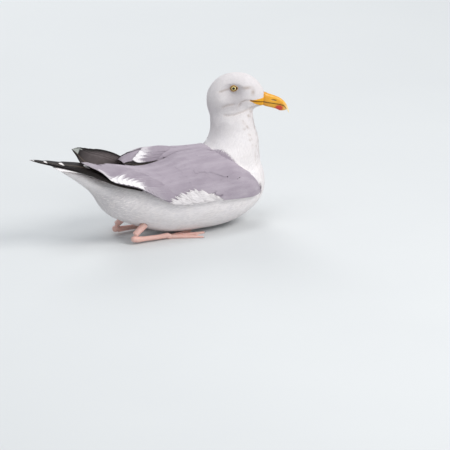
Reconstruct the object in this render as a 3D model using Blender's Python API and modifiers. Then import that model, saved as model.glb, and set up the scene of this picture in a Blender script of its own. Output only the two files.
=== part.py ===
"""A herring gull afloat, life size, as a still museum model.

The bird heads along +X with its left side at +Y, and sits on its belly on the plane Z = 0.
Its head is turned to its right. Sizes are in millimetres and become metres in the meshes.
The flesh is modelled whole, as three lofts blended into one body, and is parted by thin cuts
into trunk, neck and head. Bill, eyes, wings, flight feathers, tail, legs and feet are fitted
into it, each as a solid of its own.
"""
from bisect import bisect_right
from math import copysign, cos, pi, radians, sin

import bmesh
import bpy
from mathutils import Matrix, Vector

MM = 0.001
GAP = 0.45                  # clearance cut around a fitted piece, measured along its normals
CUT = 0.3                   # width of the cuts that part the flesh
FLOOR = (Vector((0, 0, 0)), Vector((0, 0, -1)))     # what a flat underside is cut to

# The head looks along its own axis, turned to the right about a plumb line through the neck.
HEAD_TURN = radians(-30)
HEAD_PIVOT = Vector((96, 0, 0))

# Trunk sections along X: bottom, height of the widest point, top, half width.
TRUNK = [
    (-240, 139.5, 141.0, 142.5, 9),
    (-220, 125, 133, 138.5, 19),
    (-202, 111, 123, 131.5, 23),
    (-185, 97, 113, 124.5, 26),
    (-168, 80, 102, 117, 30),
    (-158, 62, 92, 119, 33),
    (-148, 48, 82, 123, 37),
    (-130, 36, 76, 122, 43),
    (-90, 18, 66, 119, 53),
    (-50, 3, 61, 121, 60),
    (0, -1.5, 58, 129.5, 64),
    (40, -1.5, 58, 131, 65),
    (70, 2, 58, 127, 62.5),
    (98, 11, 60, 121, 54),
    (120, 22, 62, 112, 41),
    (135, 34, 63, 98, 26),
    (143, 48, 65, 82, 11),
]

# Neck sections by height: place of the middle along X and Y, half depth, half width, turn.
NECK = [
    (70, 56, 0, 84, 52, 0),
    (100, 60, 0, 77, 48, 0),
    (120, 76, 0, 58, 43, 0),
    (131, 85, 0, 48, 39.5, 0),
    (142, 89, 0, 43.5, 36.5, -5),
    (152, 89.5, 1, 39, 34, -12),
    (165, 88.5, 2, 36.5, 31.5, -20),
    (178, 87.5, 3, 35.5, 29.5, -26),
    (192, 87.5, 4.5, 35, 27, -30),
    (208, 88, 4.5, 33, 23.5, -30),
]

# Head sections along the head's own axis: bottom, widest point, top, half width.
HEAD = [
    (-49.5, 196, 204, 212, 6),
    (-46.5, 184, 204, 221.5, 15),
    (-41, 176, 205, 230, 20.5),
    (-32, 171, 206, 240, 25),
    (-18, 169, 208, 247.5, 27),
    (-4, 171, 209, 250.3, 26),
    (11, 178.5, 209.5, 249.5, 23.2),
    (25, 188, 209, 243.7, 18.5),
    (36, 192.3, 207, 233.8, 13.2),
    (42, 193.2, 205.5, 224.3, 9.6),
    (47, 193.5, 205, 216, 7.6),
]
BILL_BASE = 44              # where the bill leaves the feathers, along the head's axis

# Thin cuts part the flesh: each has a point on it and how far it tips back from the level.
NECK_BASE = Vector((84, 0, 121))
NECK_BASE_TIP = radians(15)
THROAT_AHEAD, THROAT_HEIGHT = -10, 183
THROAT_TIP = radians(-5)

# Bill sections along the head's axis: bottom, top, half width.
UPPER_BILL = [
    (44, 203.6, 217.2, 7.2),
    (50, 202.6, 214.2, 6.7),
    (59, 201.2, 211.2, 5.8),
    (69, 199.0, 206.9, 4.9),
    (75, 196.6, 202.2, 4.2),
    (79, 191.2, 197.6, 3.2),
    (82.2, 185.4, 191.4, 2.1),
    (84.2, 180.6, 184.2, 0.9),
]
LOWER_BILL = [
    (44, 193.6, 203.2, 6.4),
    (54, 191.0, 201.5, 5.5),
    (64, 188.0, 199.7, 4.6),
    (71, 185.2, 198.0, 3.9),
    (76.5, 185.6, 194.6, 3.2),
    (80.5, 186.6, 188.4, 1.5),
]

EYE_RADIUS = 7.4
EYE_PLACE = (-5.2, 12.2, 228.2)     # along the head's axis, to the side, height
SOCKET_RADIUS = 6.2

# Folded arm of the wing along X: place of its lower edge and of its upper edge, as distance
# from the middle plane and height, then the rise of its back and its greatest thickness.
RIGHT_ARM = [
    (-201, 11, 146.5, 8, 147.5, 0.3, 0.3),
    (-187, 20, 140.5, 7, 144, 0.6, 1.0),
    (-174, 31, 132, 6.5, 141, 1.5, 2.5),
    (-160, 45, 118, 6, 138, 3, 4),
    (-148, 50, 113.5, 5.5, 136, 5, 6),
    (-119, 55, 104, 5, 129, 8, 9),
    (-103, 58, 95, 5, 125, 10, 10),
    (-78, 63, 80, 5, 122.5, 13, 11),
    (-50, 66, 67, 5, 125.5, 15.5, 11),
    (-15, 68.5, 64, 5, 134.5, 16, 11),
    (25, 69.5, 63, 8, 135, 15.5, 11),
    (53, 69, 61, 26, 128, 13, 10),
    (71, 67, 59, 44, 112, 8, 9),
    (95, 60.5, 57, 48, 92, 4.5, 8),
    (108, 53, 57, 46, 76, 3, 6),
    (115, 45.5, 60, 42, 67, 1.5, 2),
]
# The left arm differs behind the shoulder: it is lifted there, and its tertials end sooner.
LEFT_ARM_REAR = [
    (-114, 48, 107, 31, 127, 0.5, 1.0),
    (-106, 52, 100, 23, 134, 4, 5),
    (-90, 59, 88, 12, 142, 12, 12),
    (-70, 63, 78, 9, 145.5, 17, 16),
    (-50, 66, 70, 8, 145, 18, 16),
    (-33, 67.5, 66, 7, 143, 17.5, 15),
    (-10, 68.5, 64, 6.5, 140, 16.5, 13),
    (20, 69.5, 63, 7.5, 137.5, 16, 11.5),
]

# Edges of the folded hand, from under the arm to the tip: leading edge, then trailing edge.
RIGHT_HAND = [
    ((-112, -54, 98), (-112, -22, 122)),
    ((-150, -51.5, 111), (-150, -12, 131)),
    ((-175, -43.5, 122.5), (-175, -4, 138.5)),
    ((-203, -31, 136), (-197, 3, 144)),
    ((-228, -23, 144.5), (-225, 5.5, 149)),
    ((-254, -12, 152.5), (-250, 5.5, 155)),
    ((-273, -6, 158.5), (-272, 3.5, 161)),
    ((-288, -1.5, 164.5), (-288, 0, 165)),
]
LEFT_HAND = [
    ((-96, 50, 98), (-92, 24, 124)),
    ((-130, 38, 109), (-122, 20, 142.5)),
    ((-160, 24, 121), (-146, 16, 153)),
    ((-182, 12, 131), (-166, 12, 159)),
    ((-195, 4, 144), (-183, 7, 165)),
    ((-205, -3, 157), (-197, 1, 170)),
    ((-213, -8, 167), (-208, -6, 173)),
    ((-219, -12, 174), (-218, -12, 174.6)),
]
HAND_TIPS = (0.40, 0.52, 0.64, 0.76, 0.88)   # where shorter primaries end, along the hand
HAND_THICKNESS = 2.4
TIP_NOTCH = 0.16            # how far the hand's trailing edge steps back beyond each tip

# Tail along X: height of the middle, half width.
TAIL = [
    (-251, 147.8, 20),
    (-247, 147.6, 25),
    (-230, 144.5, 26.5),
    (-210, 138.3, 27),
    (-190, 129.8, 27),
    (-165, 117.5, 26),
    (-140, 105, 22),
]
TAIL_THICKNESS = 2.0
TAIL_DROOP = 2.5            # how far the outer tail feathers lie below the middle pair
TAIL_FEATHERS = 12

# Legs, right side; the left one mirrors it.
HEEL = Vector((-110, -31, 7.5))
TOE_ROOT = Vector((-50, -33, 5.0))
THIGH_END = Vector((-92, -29, 30))
SHANK_RADIUS = 4.2
TOES = [                    # direction from straight ahead, length, of the three webbed toes
    (radians(-27), 53),
    (radians(-4), 60),
    (radians(20), 50),
]
TOE_RADIUS = 3.6
TOE_TIP_RADIUS = 1.6
WEB_THICKNESS = 2.0
SPUR_LENGTH = 9

RING = 28                   # points round a section of trunk, neck and head
FLESH_VOXEL = 3.0
FLESH_FACES = 3000

COLOURS = {
    "plumage": ((0.86, 0.85, 0.84), 0.75),
    "mantle": ((0.36, 0.33, 0.38), 0.7),
    "primaries": ((0.03, 0.022, 0.022), 0.55),
    "bill": ((0.78, 0.42, 0.03), 0.35),
    "eye": ((0.80, 0.72, 0.38), 0.1),
    "foot": ((0.66, 0.42, 0.34), 0.5),
}


# ---------------------------------------------------------------- tables and outlines

def slopes(keys, values):
    """Slopes of a curve that passes every value without overshooting it."""
    steps = [(b - a) / (kb - ka) for a, b, ka, kb in zip(values, values[1:], keys, keys[1:])]
    inner = [2 * p * q / (p + q) if p * q > 0 else 0.0 for p, q in zip(steps, steps[1:])]
    return [steps[0]] + inner + [steps[-1]]


def read_table(rows, at):
    """Every column of a table at one place of its first column, on smooth curves."""
    keys = [row[0] for row in rows]
    i = min(max(bisect_right(keys, at) - 1, 0), len(keys) - 2)
    span = keys[i + 1] - keys[i]
    s = min(max((at - keys[i]) / span, 0.0), 1.0)
    found = []
    for values in list(zip(*rows))[1:]:
        m = slopes(keys, values)
        found.append(values[i] * (1 + 2 * s) * (1 - s) ** 2 + span * m[i] * s * (1 - s) ** 2
                     + values[i + 1] * s * s * (3 - 2 * s) + span * m[i + 1] * s * s * (s - 1))
    return found


def even_places(rows, count):
    """Places spread from the first row of a table to its last, closer together at both ends."""
    first, last = rows[0][0], rows[-1][0]
    return [first + (last - first) * (0.5 - 0.5 * cos(pi * i / count)) * 0.35
            + (last - first) * i / count * 0.65 for i in range(count + 1)]


def egg_ring(low, wide, high, half_width):
    """Points of an egg-shaped section: its side, then its height."""
    ring = []
    for i in range(RING):
        across, up = cos(2 * pi * i / RING), sin(2 * pi * i / RING)
        ring.append((half_width * across, wide + up * (high - wide if up > 0 else wide - low)))
    return ring


def head_point(ahead, side, height):
    """A place given along the head's own axis, on the bird."""
    turned = Matrix.Rotation(HEAD_TURN, 3, "Z") @ Vector((ahead, side, height))
    return HEAD_PIVOT + turned


# ---------------------------------------------------------------- meshes

def new_object(name, bm, collection):
    """An object in metres from a mesh drawn in millimetres, in triangles that face outward."""
    bmesh.ops.remove_doubles(bm, verts=bm.verts, dist=0.001)
    bmesh.ops.triangulate(bm, faces=bm.faces)
    bmesh.ops.recalc_face_normals(bm, faces=bm.faces)
    bmesh.ops.scale(bm, vec=(MM, MM, MM), verts=bm.verts)
    mesh = bpy.data.meshes.new(name)
    bm.to_mesh(mesh)
    bm.free()
    piece = bpy.data.objects.new(name, mesh)
    collection.objects.link(piece)
    return piece


def loft(rings):
    """A closed skin through unlike sections, which all have the same number of points."""
    bm = bmesh.new()
    rows = [[bm.verts.new(point) for point in ring] for ring in rings]
    count = len(rows[0])
    for near, far in zip(rows, rows[1:]):
        for i in range(count):
            j = (i + 1) % count
            bm.faces.new((near[i], near[j], far[j], far[i]))
    bm.faces.new(rows[0])
    bm.faces.new(rows[-1][::-1])
    return bm


def baked(piece, name):
    """A new mesh of the piece as its modifiers leave it."""
    seen = piece.evaluated_get(bpy.context.evaluated_depsgraph_get())
    mesh = bpy.data.meshes.new_from_object(seen)
    mesh.name = name
    return mesh


def largest_body(mesh):
    """Keep only the largest of a mesh's loose bodies."""
    bm = bmesh.new()
    bm.from_mesh(mesh)
    left = set(bm.faces)
    bodies = []
    while left:
        body, edge = set(), [left.pop()]
        while edge:
            face = edge.pop()
            body.add(face)
            for beside in (other for line in face.edges for other in line.link_faces):
                if beside in left:
                    left.remove(beside)
                    edge.append(beside)
        bodies.append(body)
    keep = max(bodies, key=lambda body: sum(face.calc_area() for face in body))
    spare = [face for body in bodies if body is not keep for face in body]
    bmesh.ops.delete(bm, geom=spare, context="FACES")
    bm.to_mesh(mesh)
    bm.free()


def grown(piece, by, collection):
    """A cutter: the piece made larger all round."""
    mesh = baked(piece, piece.name + "_cutter")
    normals = [vertex.normal.copy() for vertex in mesh.vertices]
    for vertex, normal in zip(mesh.vertices, normals):
        vertex.co += normal * by * MM
    cutter = bpy.data.objects.new(mesh.name, mesh)
    cutter.hide_render = True
    cutter.display_type = "WIRE"
    collection.objects.link(cutter)
    return cutter


def carve(piece, cutters):
    """Cut the cutters out of a piece and keep what is left as one body."""
    for cutter in cutters:
        cut = piece.modifiers.new(cutter.name, "BOOLEAN")
        cut.operation = "DIFFERENCE"
        cut.solver = "EXACT"
        cut.object = cutter
    mesh = baked(piece, piece.name)
    piece.modifiers.clear()
    piece.data = mesh
    largest_body(mesh)


def slice_of(source, name, planes, collection):
    """The part of a body on the inner side of some planes, closed by flat faces."""
    bm = bmesh.new()
    bm.from_mesh(source.data)
    for point, normal in planes:
        everything = bm.verts[:] + bm.edges[:] + bm.faces[:]
        done = bmesh.ops.bisect_plane(bm, geom=everything, dist=1e-6, plane_co=Vector(point) * MM,
                                      plane_no=normal, clear_outer=True)
        rim = [item for item in done["geom_cut"] if isinstance(item, bmesh.types.BMEdge)]
        bmesh.ops.contextual_create(bm, geom=rim)
    bmesh.ops.scale(bm, vec=(1 / MM,) * 3, verts=bm.verts)
    piece = new_object(name, bm, collection)
    largest_body(piece.data)
    return piece


# ---------------------------------------------------------------- flesh

def trunk_loft():
    rings = []
    for x in even_places(TRUNK, 34):
        low, wide, high, half_width = read_table(TRUNK, x)
        rings.append([(x, side, z) for side, z in egg_ring(low, wide, high, half_width)])
    return loft(rings)


def neck_loft():
    rings = []
    for z in even_places(NECK, 18):
        x, y, depth, width, turn = read_table(NECK, z)
        turned = Matrix.Rotation(radians(turn), 3, "Z")
        round_about = [2 * pi * i / RING for i in range(RING)]
        rings.append([Vector((x, y, z)) + turned @ Vector((depth * cos(a), width * sin(a), 0))
                      for a in round_about])
    return loft(rings)


def head_loft():
    rings = []
    for ahead in even_places(HEAD, 22):
        low, wide, high, half_width = read_table(HEAD, ahead)
        rings.append([head_point(ahead, side, z)
                      for side, z in egg_ring(low, wide, high, half_width)])
    return loft(rings)


def whole_flesh(helpers):
    """Trunk, neck and head blended into one smooth body."""
    whole = bmesh.new()
    for bm in (trunk_loft(), neck_loft(), head_loft()):
        bmesh.ops.recalc_face_normals(bm, faces=bm.faces)
        mesh = bpy.data.meshes.new("loft")
        bm.to_mesh(mesh)
        bm.free()
        whole.from_mesh(mesh)
        bpy.data.meshes.remove(mesh)
    flesh = new_object("flesh", whole, helpers)
    flesh.hide_render = True
    remesh = flesh.modifiers.new("blend", "REMESH")
    remesh.mode = "VOXEL"
    remesh.voxel_size = FLESH_VOXEL * MM
    smooth = flesh.modifiers.new("soften", "SMOOTH")
    smooth.factor = 0.5
    smooth.iterations = 8
    flesh.data = baked(flesh, "flesh")
    flesh.modifiers.clear()
    thin = flesh.modifiers.new("thin", "DECIMATE")
    thin.ratio = FLESH_FACES / (2 * len(flesh.data.polygons))
    flesh.data = baked(flesh, "flesh")
    flesh.modifiers.clear()
    return flesh


def part_flesh(flesh, collection):
    """Trunk, neck and head, apart by thin flat cuts, with the belly flat on the floor."""
    neck_rise = Vector((sin(NECK_BASE_TIP), 0, cos(NECK_BASE_TIP)))
    throat = head_point(THROAT_AHEAD, 0, THROAT_HEIGHT)
    throat_rise = head_point(sin(THROAT_TIP), 0, cos(THROAT_TIP)) - HEAD_PIVOT
    bill_base = head_point(BILL_BASE - CUT, 0, THROAT_HEIGHT)
    ahead = head_point(1, 0, 0) - HEAD_PIVOT
    half_cut = CUT / 2
    trunk = slice_of(flesh, "trunk", [
        (NECK_BASE - neck_rise * half_cut, neck_rise),
        FLOOR,
    ], collection)
    neck = slice_of(flesh, "neck", [
        (NECK_BASE + neck_rise * half_cut, -neck_rise),
        (throat - throat_rise * half_cut, throat_rise),
    ], collection)
    head = slice_of(flesh, "head", [
        (throat + throat_rise * half_cut, -throat_rise),
        (bill_base, ahead),
    ], collection)
    return trunk, neck, head


# ---------------------------------------------------------------- bill and eyes

def bill_half(name, rows, ridge, collection):
    """One half of the bill. The ridge is the sharper side: 1 for the culmen, -1 for the gonys."""
    rings = []
    for ahead in even_places(rows, 12):
        low, high, half_width = read_table(rows, ahead)
        wide = low if ridge > 0 else high
        ring = []
        for i in range(9):
            a = pi * i / 8
            side = half_width * copysign(abs(cos(a)) ** 0.7, cos(a))
            rise = sin(a) ** 0.9 * (high - low)
            ring.append(head_point(ahead, side, wide + rise * ridge))
        rings.append(ring)
    return new_object(name, loft(rings), collection)


def eye(name, side, collection):
    bm = bmesh.new()
    bmesh.ops.create_uvsphere(bm, u_segments=12, v_segments=7, radius=EYE_RADIUS)
    ahead, out, height = EYE_PLACE
    bmesh.ops.translate(bm, vec=head_point(ahead, side * out, height), verts=bm.verts)
    return new_object(name, bm, collection)


def socket(side, helpers):
    """A short round hole that bares the front of the eye."""
    bm = bmesh.new()
    bmesh.ops.create_cone(bm, cap_ends=True, segments=16, radius1=SOCKET_RADIUS,
                          radius2=SOCKET_RADIUS + 0.8, depth=EYE_RADIUS * 1.6)
    bmesh.ops.rotate(bm, cent=(0, 0, 0), matrix=Matrix.Rotation(-side * pi / 2, 3, "X"),
                     verts=bm.verts)
    bmesh.ops.rotate(bm, cent=(0, 0, 0), matrix=Matrix.Rotation(HEAD_TURN, 3, "Z"),
                     verts=bm.verts)
    ahead, out, height = EYE_PLACE
    middle = head_point(ahead, side * (out + EYE_RADIUS * 1.05), height)
    bmesh.ops.translate(bm, vec=middle, verts=bm.verts)
    cutter = new_object("socket", bm, helpers)
    cutter.hide_render = True
    cutter.display_type = "WIRE"
    return cutter


# ---------------------------------------------------------------- wings and tail

def arm(name, rows, side, collection):
    """The folded arm with its coverts: a crescent that lies over the flank."""
    outer_points, inner_points = 9, 5
    rings = []
    for x in even_places(rows, 20):
        low_out, low_z, top_out, top_z, rise, thick = read_table(rows, x)
        low, top = Vector((low_out, low_z)), Vector((top_out, top_z))
        outward = Vector((top.y - low.y, low.x - top.x)).normalized()

        def back(s):
            return low.lerp(top, s) + outward * rise * max(sin(pi * s), 0) ** 0.85

        def depth(s):
            return 0.6 + (thick + 0.6) * max(sin(pi * s), 0) ** 0.7

        section = [back(i / outer_points) for i in range(outer_points + 1)]
        section += [back(i / inner_points) - outward * depth(i / inner_points)
                    for i in range(inner_points, -1, -1)]
        rings.append([(x, side * point.x, point.y) for point in section])
    return new_object(name, loft(rings), collection)


def sheet(rows, collection, name, thickness):
    """A thin closed plate whose two faces follow rows of points."""
    bm = bmesh.new()
    grid = [[bm.verts.new(point) for point in row] for row in rows]
    for near, far in zip(grid, grid[1:]):
        for a, b, c, d in zip(near, near[1:], far[1:], far):
            bm.faces.new((a, b, c, d))
    bmesh.ops.recalc_face_normals(bm, faces=bm.faces)
    bmesh.ops.solidify(bm, geom=bm.faces[:], thickness=thickness)
    return new_object(name, bm, collection)


def hand(name, edges, collection):
    """The folded primaries: one blade with a step in its trailing edge at each feather's tip."""
    count, across = 30, 2
    table = [(i / (len(edges) - 1), *lead, *trail) for i, (lead, trail) in enumerate(edges)]
    rows = []
    for i in range(count + 1):
        s = i / count
        values = read_table(table, s)
        lead, trail = Vector(values[:3]), Vector(values[3:])
        passed = [tip for tip in HAND_TIPS if tip < s]
        ends = [tip for tip in HAND_TIPS if tip >= s] + [1.0]
        run = (s - passed[-1]) / (ends[0] - passed[-1]) if passed else 1.0
        reach = 1 - TIP_NOTCH * (1 - run) if passed else 1.0
        rows.append([lead.lerp(trail, reach * j / across) for j in range(across + 1)])
    return sheet(rows, collection, name, HAND_THICKNESS)


def tail(collection):
    """The closed tail: a slightly arched plate with a rounded end to each feather."""
    count, across = 4, 2 * TAIL_FEATHERS
    first, last = TAIL[0][0], TAIL[-1][0]
    rows = []
    for i in range(count + 1):
        row = []
        for j in range(across + 1):
            part = 2 * j / across - 1
            scallop = 1.6 * (1 - abs(sin(pi * j / 2)))
            rear = first + scallop + 5 * part ** 4
            x = rear + (last - rear) * i / count
            height, half_width = read_table(TAIL, x)
            row.append((x, part * half_width, height - TAIL_DROOP * part * part))
        rows.append(row)
    return sheet(rows, collection, "tail", TAIL_THICKNESS)


# ---------------------------------------------------------------- legs and feet

def tapered_tube(points, radii, sides=7):
    """Rings along a path, each with its own radius."""
    rings = []
    for i, (point, radius) in enumerate(zip(points, radii)):
        ahead = (points[min(i + 1, len(points) - 1)] - points[max(i - 1, 0)]).normalized()
        across = ahead.cross(Vector((0, 0, 1))).normalized()
        up = across.cross(ahead)
        rings.append([point + radius * (across * cos(2 * pi * k / sides)
                                        + up * sin(2 * pi * k / sides)) for k in range(sides)])
    return loft(rings)


def leg(name, side, collection):
    """Shank on the floor, heel behind, and the start of the thigh up into the belly."""
    mirror = Vector((1, -side, 1))
    path = [TOE_ROOT + Vector((-1, 0, 1)), TOE_ROOT.lerp(HEEL, 0.35), TOE_ROOT.lerp(HEEL, 0.75),
            HEEL + Vector((3, 0, 0)), HEEL + Vector((-3.5, 0, 3)), HEEL + Vector((-1, 0.5, 9)),
            THIGH_END]
    radii = [SHANK_RADIUS + extra for extra in (0.2, -0.4, -0.3, 0.7, 0.9, 0.7, 1.6)]
    return new_object(name, tapered_tube([point * mirror for point in path], radii), collection)


def toe(angle, length, side):
    """One toe: flat on the floor, thinning to its claw."""
    ahead = Vector((cos(angle), sin(angle), 0))
    knuckles = [0.0, 0.3, 0.6, 0.86, 1.0]
    radii = [TOE_RADIUS + (TOE_TIP_RADIUS - TOE_RADIUS) * part for part in knuckles]
    root = Vector((TOE_ROOT.x + 3.5, TOE_ROOT.y, 0))
    mirror = Vector((1, -side, 1))
    points = [(root + ahead * length * part + Vector((0, 0, radius * 0.8))) * mirror
              for part, radius in zip(knuckles, radii)]
    return tapered_tube(points, radii)


def web(side):
    """The skin between the toes, hollowed along its front edge."""
    bm = bmesh.new()
    root = Vector((TOE_ROOT.x + 3.5, TOE_ROOT.y, 0))
    rim = [root]
    for (angle, length), (angle_b, length_b) in zip(TOES, TOES[1:]):
        for i in range(5):
            s = i / 4
            turn = angle + (angle_b - angle) * s
            reach = (length + (length_b - length) * s) * (0.9 - 0.16 * sin(pi * s))
            rim.append(root + Vector((cos(turn), sin(turn), 0)) * reach)
    mirror = Vector((1, -side, 1))
    flat = bm.faces.new([bm.verts.new(point * mirror) for point in rim])
    raised = bmesh.ops.extrude_face_region(bm, geom=[flat])["geom"]
    top = [item for item in raised if isinstance(item, bmesh.types.BMVert)]
    bmesh.ops.translate(bm, vec=(0, 0, WEB_THICKNESS), verts=top)
    return bm


def foot(name, side, collection, helpers):
    """Web, three toes and the spur of the hind toe, joined, with a flat sole."""
    piece = new_object(name, web(side), collection)
    mirror = Vector((1, -side, 1))
    spur_root = Vector((TOE_ROOT.x + 4, TOE_ROOT.y + 1, 3.2))
    spur_tip = spur_root + Vector((-6, SPUR_LENGTH, 0.6))
    spur = tapered_tube([spur_root * mirror, spur_tip * mirror], [2.0, 1.0], sides=6)
    for bm in [toe(angle, length, side) for angle, length in TOES] + [spur]:
        limb = new_object(name + "_toe", bm, helpers)
        limb.hide_render = True
        join = piece.modifiers.new("join", "BOOLEAN")
        join.operation = "UNION"
        join.object = limb
    piece.data = baked(piece, name)
    piece.modifiers.clear()
    flat = slice_of(piece, name + "_flat", [FLOOR], collection)
    piece.data = flat.data
    bpy.data.objects.remove(flat)
    return piece


# ---------------------------------------------------------------- the bird

def material(name):
    colour, roughness = COLOURS[name]
    made = bpy.data.materials.new(name)
    made.use_nodes = True
    shader = made.node_tree.nodes["Principled BSDF"]
    shader.inputs["Base Color"].default_value = (*colour, 1)
    shader.inputs["Roughness"].default_value = roughness
    return made


def finish(pieces):
    """One material for each piece, and smooth shading."""
    for piece, finish_name in pieces:
        piece.data.materials.clear()
        piece.data.materials.append(material(finish_name))
        piece.data.shade_smooth()
        piece.data.set_sharp_from_angle(angle=radians(50))


def main():
    for old in list(bpy.data.objects):
        bpy.data.objects.remove(old)
    gull = bpy.data.collections.new("herring_gull")
    helpers = bpy.data.collections.new("cutters")
    for collection in (gull, helpers):
        bpy.context.scene.collection.children.link(collection)

    upper = bill_half("upper_bill", UPPER_BILL, 1, gull)
    lower = bill_half("lower_bill", LOWER_BILL, -1, gull)
    carve(lower, [grown(upper, GAP, helpers)])
    eyes = [eye("right_eye", -1, gull), eye("left_eye", 1, gull)]

    right_hand = hand("right_primaries", RIGHT_HAND, gull)
    left_hand = hand("left_primaries", LEFT_HAND, gull)
    carve(left_hand, [grown(right_hand, GAP, helpers)])
    left_rows = LEFT_ARM_REAR + [row for row in RIGHT_ARM if row[0] > LEFT_ARM_REAR[-1][0]]
    right_arm = arm("right_wing", RIGHT_ARM, -1, gull)
    left_arm = arm("left_wing", left_rows, 1, gull)
    fan = tail(gull)
    legs = [leg("right_leg", -1, gull), leg("left_leg", 1, gull)]
    feet = [foot("right_foot", -1, gull, helpers), foot("left_foot", 1, gull, helpers)]

    hand_cutters = [grown(piece, GAP, helpers) for piece in (right_hand, left_hand)]
    fitted = eyes + [right_arm, left_arm, fan] + legs + feet
    cutters = hand_cutters + [grown(piece, GAP, helpers) for piece in fitted]
    flesh = whole_flesh(helpers)
    carve(flesh, cutters + [socket(-1, helpers), socket(1, helpers)])
    for piece in (right_arm, left_arm, fan):
        carve(piece, hand_cutters)
    for shank, sole in zip(legs, feet):
        carve(shank, [grown(sole, GAP, helpers)])
    trunk, neck, head = part_flesh(flesh, gull)

    finish([(trunk, "plumage"), (neck, "plumage"), (head, "plumage"), (fan, "plumage"),
            (right_arm, "mantle"), (left_arm, "mantle"),
            (right_hand, "primaries"), (left_hand, "primaries"),
            (upper, "bill"), (lower, "bill")]
           + [(piece, "eye") for piece in eyes]
           + [(piece, "foot") for piece in legs + feet])


main()
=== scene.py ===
"""An adult herring gull afloat, life size, as a still museum model: skin, plumage, bill, eyes,
flight feathers, legs and feet.

The bird heads along +X with its left side at +Y, and its head is turned to its right. Shapes are
drawn in millimetres and become metres when a piece is made.
"""
from math import cos, pi, radians, sin, sqrt

import bmesh
import bpy
import numpy as np
from mathutils import Matrix, Vector, kdtree
from mathutils.bvhtree import BVHTree


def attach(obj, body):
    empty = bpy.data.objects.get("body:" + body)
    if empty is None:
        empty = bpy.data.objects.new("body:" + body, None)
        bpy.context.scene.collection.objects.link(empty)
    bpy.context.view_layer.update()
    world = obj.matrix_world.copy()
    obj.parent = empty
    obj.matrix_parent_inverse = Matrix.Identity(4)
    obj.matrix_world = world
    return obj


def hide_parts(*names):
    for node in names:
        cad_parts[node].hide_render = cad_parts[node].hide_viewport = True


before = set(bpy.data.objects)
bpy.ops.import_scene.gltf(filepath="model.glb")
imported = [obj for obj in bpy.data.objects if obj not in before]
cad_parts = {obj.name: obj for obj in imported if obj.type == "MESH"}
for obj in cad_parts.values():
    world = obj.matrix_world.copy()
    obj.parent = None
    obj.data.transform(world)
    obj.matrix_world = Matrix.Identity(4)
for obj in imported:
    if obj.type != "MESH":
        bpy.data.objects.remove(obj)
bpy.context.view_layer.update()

MM = 0.001
VANE_UNIT = 300.0           # millimetres from a feather's tip for which its mark says 1
EYE_UNIT = 10.0             # and from the middle of the eye
SHAFT = 0.34                # where a primary's shaft lies across its vane
SIDES = ((-1, "right"), (1, "left"))
RNG = np.random.default_rng(7)
FLESH = ("trunk", "neck", "head", "right_wing", "left_wing")
WINGS = (3, 4)              # where the wings stand in that row

HEAD_TURN = radians(-30)
HEAD_PIVOT = np.array([96.0, 0.0, 0.0])
AHEAD = np.array([cos(HEAD_TURN), sin(HEAD_TURN), 0.0])
ASIDE = np.array([-sin(HEAD_TURN), cos(HEAD_TURN), 0.0])
UPWARD = np.array([0.0, 0.0, 1.0])
EYE = (-5.2, 12.2, 228.2)
EYE_RADIUS = 7.4


def head_point(ahead, side, height):
    """Places given along the head's own axis, on the bird."""
    ahead, side, height = (np.asarray(value, float)[..., None]
                           for value in (ahead, side, height))
    return HEAD_PIVOT + AHEAD * ahead + ASIDE * side + UPWARD * height


def head_place(points):
    """Places along the head's axis, to its left side, and in height."""
    away = points - HEAD_PIVOT
    return away @ AHEAD, away @ ASIDE, points[..., 2]


def smoothstep(low, high, value):
    s = np.clip((value - low) / (high - low), 0.0, 1.0)
    return s * s * (3 - 2 * s)


def bell(*gaps):
    """1 where every gap is 0, fading out as they pass 1."""
    return np.exp(-sum(gap ** 2 for gap in gaps))


def columns(*values):
    """Columns side by side; a plain number fills its column."""
    return np.stack(np.broadcast_arrays(*values), axis=-1)


def unit(vectors):
    return vectors / np.maximum(np.linalg.norm(vectors, axis=-1, keepdims=True), 1e-9)


def along(table, at):
    """Every column of a table at some places of its first column, on straight runs."""
    rows = np.array(table, float)
    return [np.interp(at, rows[:, 0], rows[:, i]) for i in range(1, rows.shape[1])]


def curved(table, at):
    """Every column of a table at some places of its first column, on smooth curves that pass
    every row without overshooting it."""
    rows = np.array(table, float)
    keys, values = rows[:, 0], rows[:, 1:]
    steps = np.diff(values, axis=0) / np.diff(keys)[:, None]
    one, two = steps[:-1], steps[1:]
    inner = np.where(one * two > 0, 2 * one * two / np.where(one + two == 0, 1, one + two), 0)
    slopes = np.vstack([steps[:1], inner, steps[-1:]])
    at = np.clip(np.asarray(at, float), keys[0], keys[-1])
    i = np.clip(np.searchsorted(keys, at, side="right") - 1, 0, len(keys) - 2)
    span = (keys[i + 1] - keys[i])[..., None]
    s = (at - keys[i])[..., None] / span
    found = (values[i] * (1 + 2 * s) * (1 - s) ** 2 + span * slopes[i] * s * (1 - s) ** 2
             + values[i + 1] * s * s * (3 - 2 * s) + span * slopes[i + 1] * s * s * (s - 1))
    return [found[..., k] for k in range(found.shape[-1])]


# ---------------------------------------------------------------- colours and markings

def paint(red, green, blue):
    """A colour as a shader takes it, from the shade a painter would name."""
    values = [c / 255 for c in (red, green, blue)]
    return tuple(c / 12.92 if c <= 0.04045 else ((c + 0.055) / 1.055) ** 2.4 for c in values)


WHITE = paint(244, 240, 241)
WARM_WHITE = paint(238, 231, 227)
SHADE_WHITE = paint(190, 184, 186)
MANTLE = paint(160, 149, 160)
MANTLE_DARK = paint(140, 129, 141)
MANTLE_PALE = paint(186, 176, 185)
SOOT = paint(17, 13, 13)
BROWN_BLACK = paint(38, 29, 25)
SLATE = paint(122, 113, 113)
# brown of real dirt, also used for painted shade in creases and gaps
SOIL_AND_SHADE = paint(150, 125, 105)

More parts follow.
